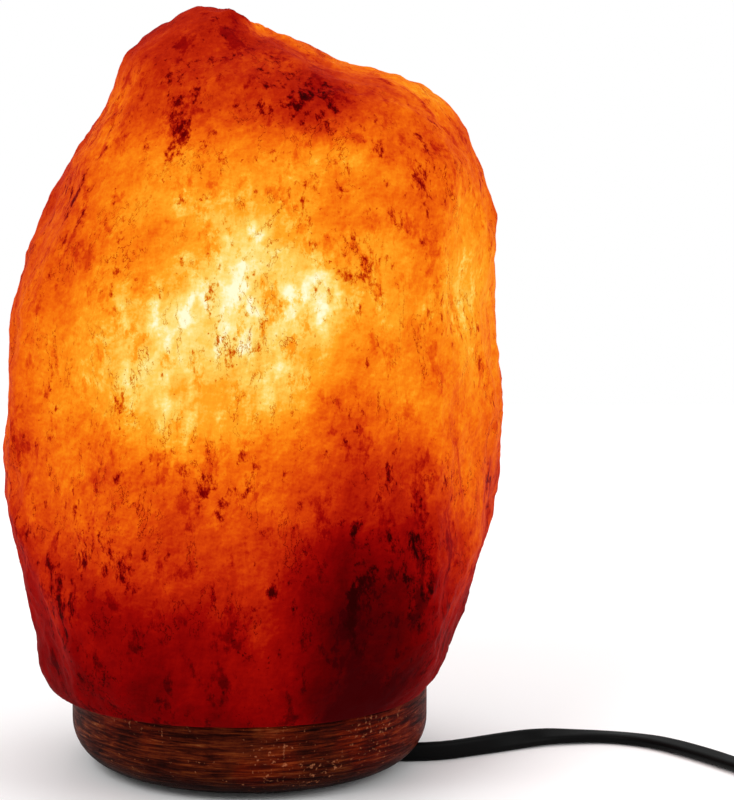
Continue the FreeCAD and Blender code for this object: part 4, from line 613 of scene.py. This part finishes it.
# %% Where the clay gathers
FLECK_BODIES = [
    ((0.031, -0.055, 0.121), (0.006, 0.030, 0.012), 0.11),
    ((0.043, -0.045, 0.109), (0.004, 0.030, 0.014), 0.22),
    ((0.052, -0.040, 0.078), (0.005, 0.030, 0.026), 0.20),
    ((0.037, -0.055, 0.078), (0.009, 0.030, 0.026), 0.10),
    ((0.033, -0.060, 0.060), (0.007, 0.030, 0.024), 0.12),
    ((-0.020, -0.040, 0.206), (0.006, 0.040, 0.018), 0.16),
    ((0.020, -0.040, 0.214), (0.016, 0.040, 0.016), 0.12),
    ((0.035, -0.040, 0.205), (0.009, 0.040, 0.014), 0.09),
    ((-0.053, -0.030, 0.184), (0.008, 0.030, 0.012), 0.12),
    ((-0.040, -0.050, 0.163), (0.008, 0.030, 0.020), 0.07),
    ((-0.006, -0.065, 0.104), (0.028, 0.030, 0.016), 0.06),
    ((-0.036, -0.060, 0.080), (0.022, 0.030, 0.012), 0.09),
    ((-0.056, -0.050, 0.060), (0.014, 0.030, 0.018), 0.10),
    ((0.037, -0.050, 0.160), (0.007, 0.030, 0.026), 0.08),
    ((0.053, -0.030, 0.190), (0.007, 0.040, 0.026), 0.09),
    ((0.000, -0.030, 0.038), (0.100, 0.090, 0.034), -0.12),
]
FLECK, SPECK, CRACK = srgb(196, 112, 88), srgb(214, 150, 120), srgb(196, 140, 100)
print("fleck bodies:", len(FLECK_BODIES))

# %% Stains, flecks, specks and cracks
STAIN_LOSS, FLECK_LOSS, SPECK_LOSS, CRACK_LOSS = 0.12, 0.24, 0.12, 0.15
CRACK_WIDTH = 0.008


def tinted(tree, colour, mask, tint):
    """A colour multiplied by a tint where a mask is 1."""
    mixed = node(tree, "Mix", data_type="RGBA", blend_type="MULTIPLY")
    tree.links.new(mask, mixed.inputs["Factor"])
    tree.links.new(colour, mixed.inputs["A"])
    mixed.inputs["B"].default_value = tint
    return mixed.outputs["Result"]


stain = smooth(tree, noise_at(tree, upright, 120.0, detail=7.0, roughness=0.7), 0.54, 0.64)
gathered = noise_at(tree, bent, 30.0, detail=3.0)
fleck_noise = noise_at(tree, upright, 260.0, detail=8.0, roughness=0.72)
fleck_noise = add_share(tree, fleck_noise, gathered, 0.34)
fleck_noise = add_bodies(tree, bent, fleck_noise, FLECK_BODIES)
fleck = smooth(tree, fleck_noise, 0.58, 0.73)
specks = noise_at(tree, place, 620.0, detail=4.0, roughness=0.65)
specks = add_share(tree, specks, gathered, 0.45)
speck = smooth(tree, specks, 0.67, 0.75)
threads = object_coordinates(tree, scale=(1.0, 1.0, 0.4))
crack_noise = noise_at(tree, threads, 90.0, detail=7.0, roughness=0.66, distortion=0.3)
crack_line = math_node(tree, "ABSOLUTE", math_node(tree, "SUBTRACT", crack_noise, 0.5))
some_cracks = smooth(tree, noise_at(tree, place, 55.0, detail=3.0), 0.48, 0.60)
crack = math_node(tree, "MULTIPLY", smooth(tree, crack_line, CRACK_WIDTH, 0.0), some_cracks)
for mask, loss in ((stain, STAIN_LOSS), (fleck, FLECK_LOSS),
                   (speck, SPECK_LOSS), (crack, CRACK_LOSS)):
    glow = math_node(tree, "MULTIPLY_ADD", mask, -loss, glow)
print("rock salt with its clay:", len(tree.nodes), "shader nodes")

# %% [markdown]
# The sum now picks the colour from the ramp, and that is what the salt sends out. The skin
# also reflects a little of the room: a small share of the same colour, with fine crumbs in
# the normal. A larger share would lay a grey veil over the deep reds.

# %% The colour of the light that comes out
SKIN_SHARE, CRUMB_HEIGHT = 0.03, 0.0008

salt_colour = ramp(tree, math_node(tree, "ADD", glow, 0.0, clamp=True), GLOW_COLOURS)
for mask, tint in ((fleck, FLECK), (speck, SPECK), (crack, CRACK)):
    salt_colour = tinted(tree, salt_colour, mask, tint)
tree.links.new(salt_colour, shader.inputs["Emission Color"])

skin_colour = node(tree, "Mix", data_type="RGBA", blend_type="MULTIPLY")
skin_colour.inputs["Factor"].default_value = 1.0
tree.links.new(salt_colour, skin_colour.inputs["A"])
skin_colour.inputs["B"].default_value = (SKIN_SHARE, SKIN_SHARE, SKIN_SHARE, 1.0)
tree.links.new(skin_colour.outputs["Result"], shader.inputs["Base Color"])
tree.links.new(bump(tree, crumbs, CRUMB_HEIGHT, 0.6), shader.inputs["Normal"])
wear(salt, crystal)
print("rock salt:", len(tree.nodes), "shader nodes")

# %% [markdown]
# ### Varnished wood
#
# The base is turned from a plank of dark hardwood whose grain runs across the front, so the
# side shows long fine lines. The stain lies unevenly, and where the foot was handled the
# varnish has worn to pale flecks. Noise stretched along the plank makes the grain: an image
# of wood would repeat and would have to be wrapped round the edge.

# %% Grain, stain and painted shade at the foot
WORN_BODIES = [
    ((0.040, -0.040, 0.020), (0.016, 0.020, 0.012), 0.09),
    ((0.024, -0.050, 0.012), (0.010, 0.020, 0.008), 0.06),
]
FIBRE_SCALES = (60.0, 90.0, 900.0)
FIBRE_HEIGHT = 0.0005
STAIN_SHARE = 0.50
WOOD_COLOURS = [
    (0.28, srgb(14, 1, 0)),
    (0.40, srgb(42, 7, 2)),
    (0.50, srgb(76, 22, 6)),
    (0.60, srgb(110, 46, 14)),
    (0.76, srgb(162, 104, 58)),
]
RED_STAIN, SHADED_FOOT, WORN = srgb(236, 160, 128), srgb(84, 58, 52), srgb(186, 112, 74)

wood, tree, shader = new_material("varnished_wood", Specular_IOR_Level=0.02)
wood_place = object_coordinates(tree)
along_plank = object_coordinates(tree, scale=FIBRE_SCALES)
fibres = noise_at(tree, along_plank, 1.0, detail=8.0, roughness=0.68, distortion=0.4)
uneven = noise_at(tree, wood_place, 60.0, detail=6.0, roughness=0.65)
grain_value = add_share(tree, fibres, uneven, STAIN_SHARE)
grain_colour = ramp(tree, grain_value, WOOD_COLOURS)
red_stain = smooth(tree, noise_at(tree, wood_place, 30.0, detail=4.0), 0.46, 0.60)
wood_colour = tinted(tree, grain_colour, red_stain, RED_STAIN)
# Painted shade: the wood turns darker towards the foot, where the base curves under, away from
# the light.
height = node(tree, "SeparateXYZ")
tree.links.new(wood_place, height.inputs["Vector"])
painted_foot_shade = smooth(tree, height.outputs["Z"], 0.016, 0.002)
wood_colour = tinted(tree, wood_colour, painted_foot_shade, SHADED_FOOT)
print("wood grain:", len(tree.nodes), "shader nodes")

# %% Worn flecks in the varnish
worn_noise = noise_at(tree, wood_place, 800.0, detail=2.0, roughness=0.5)
worn_noise = add_share(tree, worn_noise, noise_at(tree, wood_place, 50.0, detail=2.0), 0.35)
worn_noise = add_bodies(tree, wood_place, worn_noise, WORN_BODIES)
worn = math_node(tree, "MULTIPLY", smooth(tree, worn_noise, 0.66, 0.82), 0.55)
worn_wood = node(tree, "Mix", data_type="RGBA")
tree.links.new(worn, worn_wood.inputs["Factor"])
tree.links.new(wood_colour, worn_wood.inputs["A"])
worn_wood.inputs["B"].default_value = WORN
tree.links.new(worn_wood.outputs["Result"], shader.inputs["Base Color"])
tree.links.new(smooth(tree, grain_value, 0.3, 0.8, 0.55, 0.38), shader.inputs["Roughness"])
tree.links.new(bump(tree, fibres, FIBRE_HEIGHT, 0.8), shader.inputs["Normal"])
wear(wood, nodes["wooden_base"])
print("wood:", len(tree.nodes), "shader nodes")

# %% [markdown]
# ### Moulded, stamped and drawn pieces
#
# Everything else is a small piece of one stuff: vinyl, rubber, phenolic, brass, steel. None
# of them is one flat colour. A shared node group clouds the colour a little, varies the
# gloss where fingers have been, and gives a height for a fine grain. Each material places
# the group with values of its own.

# %% The shared surface group
def surface_group():
    """Clouded colour, uneven gloss and a fine grain, for any plain material."""
    group = bpy.data.node_groups.new("handled_surface", "ShaderNodeTree")
    face = group.interface
    face.new_socket("Colour", in_out="INPUT", socket_type="NodeSocketColor")
    for name in ("Grain Scale", "Clouding", "Dull", "Glossy"):
        face.new_socket(name, in_out="INPUT", socket_type="NodeSocketFloat")
    face.new_socket("Colour", in_out="OUTPUT", socket_type="NodeSocketColor")
    for name in ("Roughness", "Height"):
        face.new_socket(name, in_out="OUTPUT", socket_type="NodeSocketFloat")
    given = group.nodes.new("NodeGroupInput")
    result = group.nodes.new("NodeGroupOutput")
    place = object_coordinates(group)
    cloud = noise_at(group, place, 70.0, detail=4.0, roughness=0.6)
    grain = node(group, "TexNoise", Detail=3.0, Roughness=0.6)
    group.links.new(place, grain.inputs["Vector"])
    group.links.new(given.outputs["Grain Scale"], grain.inputs["Scale"])
    shade = math_node(group, "MULTIPLY_ADD", math_node(group, "SUBTRACT", cloud, 0.5),
                      given.outputs["Clouding"], 1.0)
    clouded = node(group, "VectorMath", operation="SCALE")
    group.links.new(given.outputs["Colour"], clouded.inputs[0])
    group.links.new(shade, clouded.inputs["Scale"])
    group.links.new(clouded.outputs["Vector"], result.inputs["Colour"])
    gloss = node(group, "MapRange", From_Min=0.35, From_Max=0.65)
    group.links.new(cloud, gloss.inputs["Value"])
    group.links.new(given.outputs["Dull"], gloss.inputs["To Min"])
    group.links.new(given.outputs["Glossy"], gloss.inputs["To Max"])
    group.links.new(gloss.outputs["Result"], result.inputs["Roughness"])
    group.links.new(grain.outputs["Fac"], result.inputs["Height"])
    return group


handled_surface = surface_group()
print("shared surface group:", len(handled_surface.nodes), "nodes")


# %% A plain material from the group
def finish(name, colour, dull, glossy, grain=900.0, depth=0.00005, clouding=0.5, **shader_values):
    """A plain material through the shared group."""
    material, tree, shader = new_material(name, **shader_values)
    surface = tree.nodes.new("ShaderNodeGroup")
    surface.node_tree = handled_surface
    for socket, value in (("Colour", colour), ("Grain Scale", grain), ("Clouding", clouding),
                          ("Dull", dull), ("Glossy", glossy)):
        surface.inputs[socket].default_value = value
    tree.links.new(surface.outputs["Colour"], shader.inputs["Base Color"])
    tree.links.new(surface.outputs["Roughness"], shader.inputs["Roughness"])
    tree.links.new(bump(tree, surface.outputs["Height"], depth), shader.inputs["Normal"])
    return material


print("finish() ready")

# %% Plastics and rubber
vinyl = finish("cord_vinyl", srgb(3, 3, 3), 0.50, 0.38, grain=1400.0, depth=0.00003,
               Specular_IOR_Level=0.07)
wear(vinyl, run_cord, coiled_cord, nodes["inner_cord"], nodes["plug_body"])
rubber = finish("soft_rubber", srgb(20, 20, 20), 0.82, 0.70, grain=1100.0, depth=0.00006)
wear(rubber, nodes["base_pads"], nodes["dimmer_boots"])
moulded = finish("moulded_black", srgb(15, 15, 16), 0.55, 0.44, grain=1500.0, depth=0.00007,
                 Specular_IOR_Level=0.35)
wear(moulded, nodes["dimmer_base"], nodes["dimmer_cover"])
wheel_black = finish("wheel_black", srgb(26, 26, 27), 0.50, 0.40, grain=1500.0)
wear(wheel_black, nodes["dimmer_wheel"])
phenolic = finish("phenolic", srgb(18, 16, 15), 0.30, 0.22, grain=700.0)
wear(phenolic, nodes["holder_cap"], nodes["holder_shell"], nodes["dimmer_triac"])
insulation = finish("wire_insulation", srgb(30, 30, 31), 0.50, 0.40)
wear(insulation, nodes["holder_wires"], nodes["dimmer_wires"], nodes["coil_tie"])
nylon = finish("natural_nylon", srgb(226, 222, 208), 0.50, 0.40, clouding=0.15)
wear(nylon, nodes["salt_anchors"])
glazed = finish("glazed_ceramic", srgb(236, 232, 220), 0.26, 0.16, clouding=0.12)
wear(glazed, nodes["holder_core"])
laminate = finish("paper_laminate", srgb(150, 112, 62), 0.62, 0.50, clouding=0.4)
wear(laminate, nodes["dimmer_board"])
film = finish("capacitor_film", srgb(206, 150, 36), 0.34, 0.24, clouding=0.2)
wear(film, nodes["dimmer_capacitor"])
print("plastics and rubber: 10 materials")

# %% Metals
brass = finish("brass", srgb(214, 176, 98), 0.40, 0.26, clouding=0.5, Metallic=1.0)
wear(brass, nodes["screw_shell"], nodes["centre_contact"], nodes["terminal_screws"],
     nodes["dimmer_terminals"])
nickel = finish("nickel_plate", srgb(196, 192, 182), 0.30, 0.18, clouding=0.3, Metallic=1.0)
wear(nickel, nodes["bulb_cap"], nodes["plug_blades"], nodes["bulb_lead_wires"])
steel = finish("plated_steel", srgb(168, 168, 164), 0.42, 0.30, clouding=0.4, Metallic=1.0)
wear(steel, nodes["base_screws"], nodes["dimmer_screws"], nodes["dimmer_spindle"],
     nodes["spring_clips"], nodes["potentiometer"])
solder = finish("solder", srgb(176, 176, 176), 0.50, 0.36, clouding=0.4, Metallic=1.0)
wear(solder, nodes["bulb_tip"])
copper = finish("enamelled_copper", srgb(168, 84, 42), 0.34, 0.24, clouding=0.5, Metallic=1.0)
wear(copper, nodes["dimmer_choke"])
print("metals: 5 materials")

# %% Glass and the filament
clear_glass, tree, shader = new_material("clear_glass", Base_Color=(1, 1, 1, 1), Roughness=0.0,
                                         Transmission_Weight=1.0, IOR=1.5)
wear(clear_glass, nodes["bulb_glass"], nodes["bulb_stem"])
black_glass = finish("black_glass", srgb(12, 10, 14), 0.20, 0.10)
wear(black_glass, nodes["bulb_insulator"])
tungsten = finish("tungsten", srgb(120, 116, 110), 0.50, 0.40, Metallic=1.0,
                  Emission_Color=srgb(255, 214, 150), Emission_Strength=4.0)
wear(tungsten, nodes["bulb_filament"])
print("glass and filament ready")

# %% [markdown]
# ## The table and the light
#
# The table is a plain pale sheet. It keeps the lamp's soft shadow, while the room behind is
# white to the camera and a plain grey to everything else, so it doesn't wash the dark wood
# out. Three large lamps stand where studio softboxes would, and all face the lamp's lower
# half.

# %% The table
TABLE_X, TABLE_Y, TABLE_HALF = 0.1, -0.65, 1.2
floor_mesh = bpy.data.meshes.new("table_top")
bm = bmesh.new()
bmesh.ops.create_grid(bm, x_segments=1, y_segments=1, size=TABLE_HALF)
bmesh.ops.translate(bm, verts=bm.verts, vec=(TABLE_X, TABLE_Y, 0))
bm.to_mesh(floor_mesh)
bm.free()
floor = bpy.data.objects.new("table_top", floor_mesh)
bpy.context.scene.collection.objects.link(floor)
paper, tree, shader = new_material("white_paper", Base_Color=srgb(250, 250, 250), Roughness=0.9,
                                   Specular_IOR_Level=0.2)
wear(paper, floor)
print("table of", round(floor.dimensions.x, 2), "m")

# %% The room's light
ROOM_LIGHT = 0.74
world = bpy.data.worlds.new("studio")
bpy.context.scene.world = world
world.use_nodes = True
tree = world.node_tree
tree.nodes.clear()
rays = node(tree, "LightPath")
lit = node(tree, "Background", Strength=ROOM_LIGHT)
lit.inputs["Color"].default_value = (1, 1, 1, 1)
seen = node(tree, "Background", Strength=1.0)
seen.inputs["Color"].default_value = (1, 1, 1, 1)
mixed = node(tree, "MixShader")
output = node(tree, "OutputWorld")
tree.links.new(rays.outputs["Is Camera Ray"], mixed.inputs[0])
tree.links.new(lit.outputs[0], mixed.inputs[1])
tree.links.new(seen.outputs[0], mixed.inputs[2])
tree.links.new(mixed.outputs[0], output.inputs["Surface"])
print("room light:", ROOM_LIGHT)

# %% Three softboxes
AIM = Vector((0.05, 0, 0.08))


def softbox(name, place, size, watts):
    """A square area lamp that faces the aim."""
    light = bpy.data.lights.new(name, "AREA")
    light.size, light.energy = size, watts
    lamp = bpy.data.objects.new(name, light)
    lamp.location = place
    lamp.rotation_euler = (Vector(place) - AIM).to_track_quat("Z", "Y").to_euler()
    bpy.context.scene.collection.objects.link(lamp)


softbox("key", (-0.9, -1.2, 1.5), 1.0, 16)
softbox("fill", (1.4, -0.9, 1.0), 1.0, 9)
softbox("top", (0.1, 0.5, 1.8), 1.2, 10)
bpy.context.scene.view_settings.view_transform = "Standard"
print("studio of three softboxes")
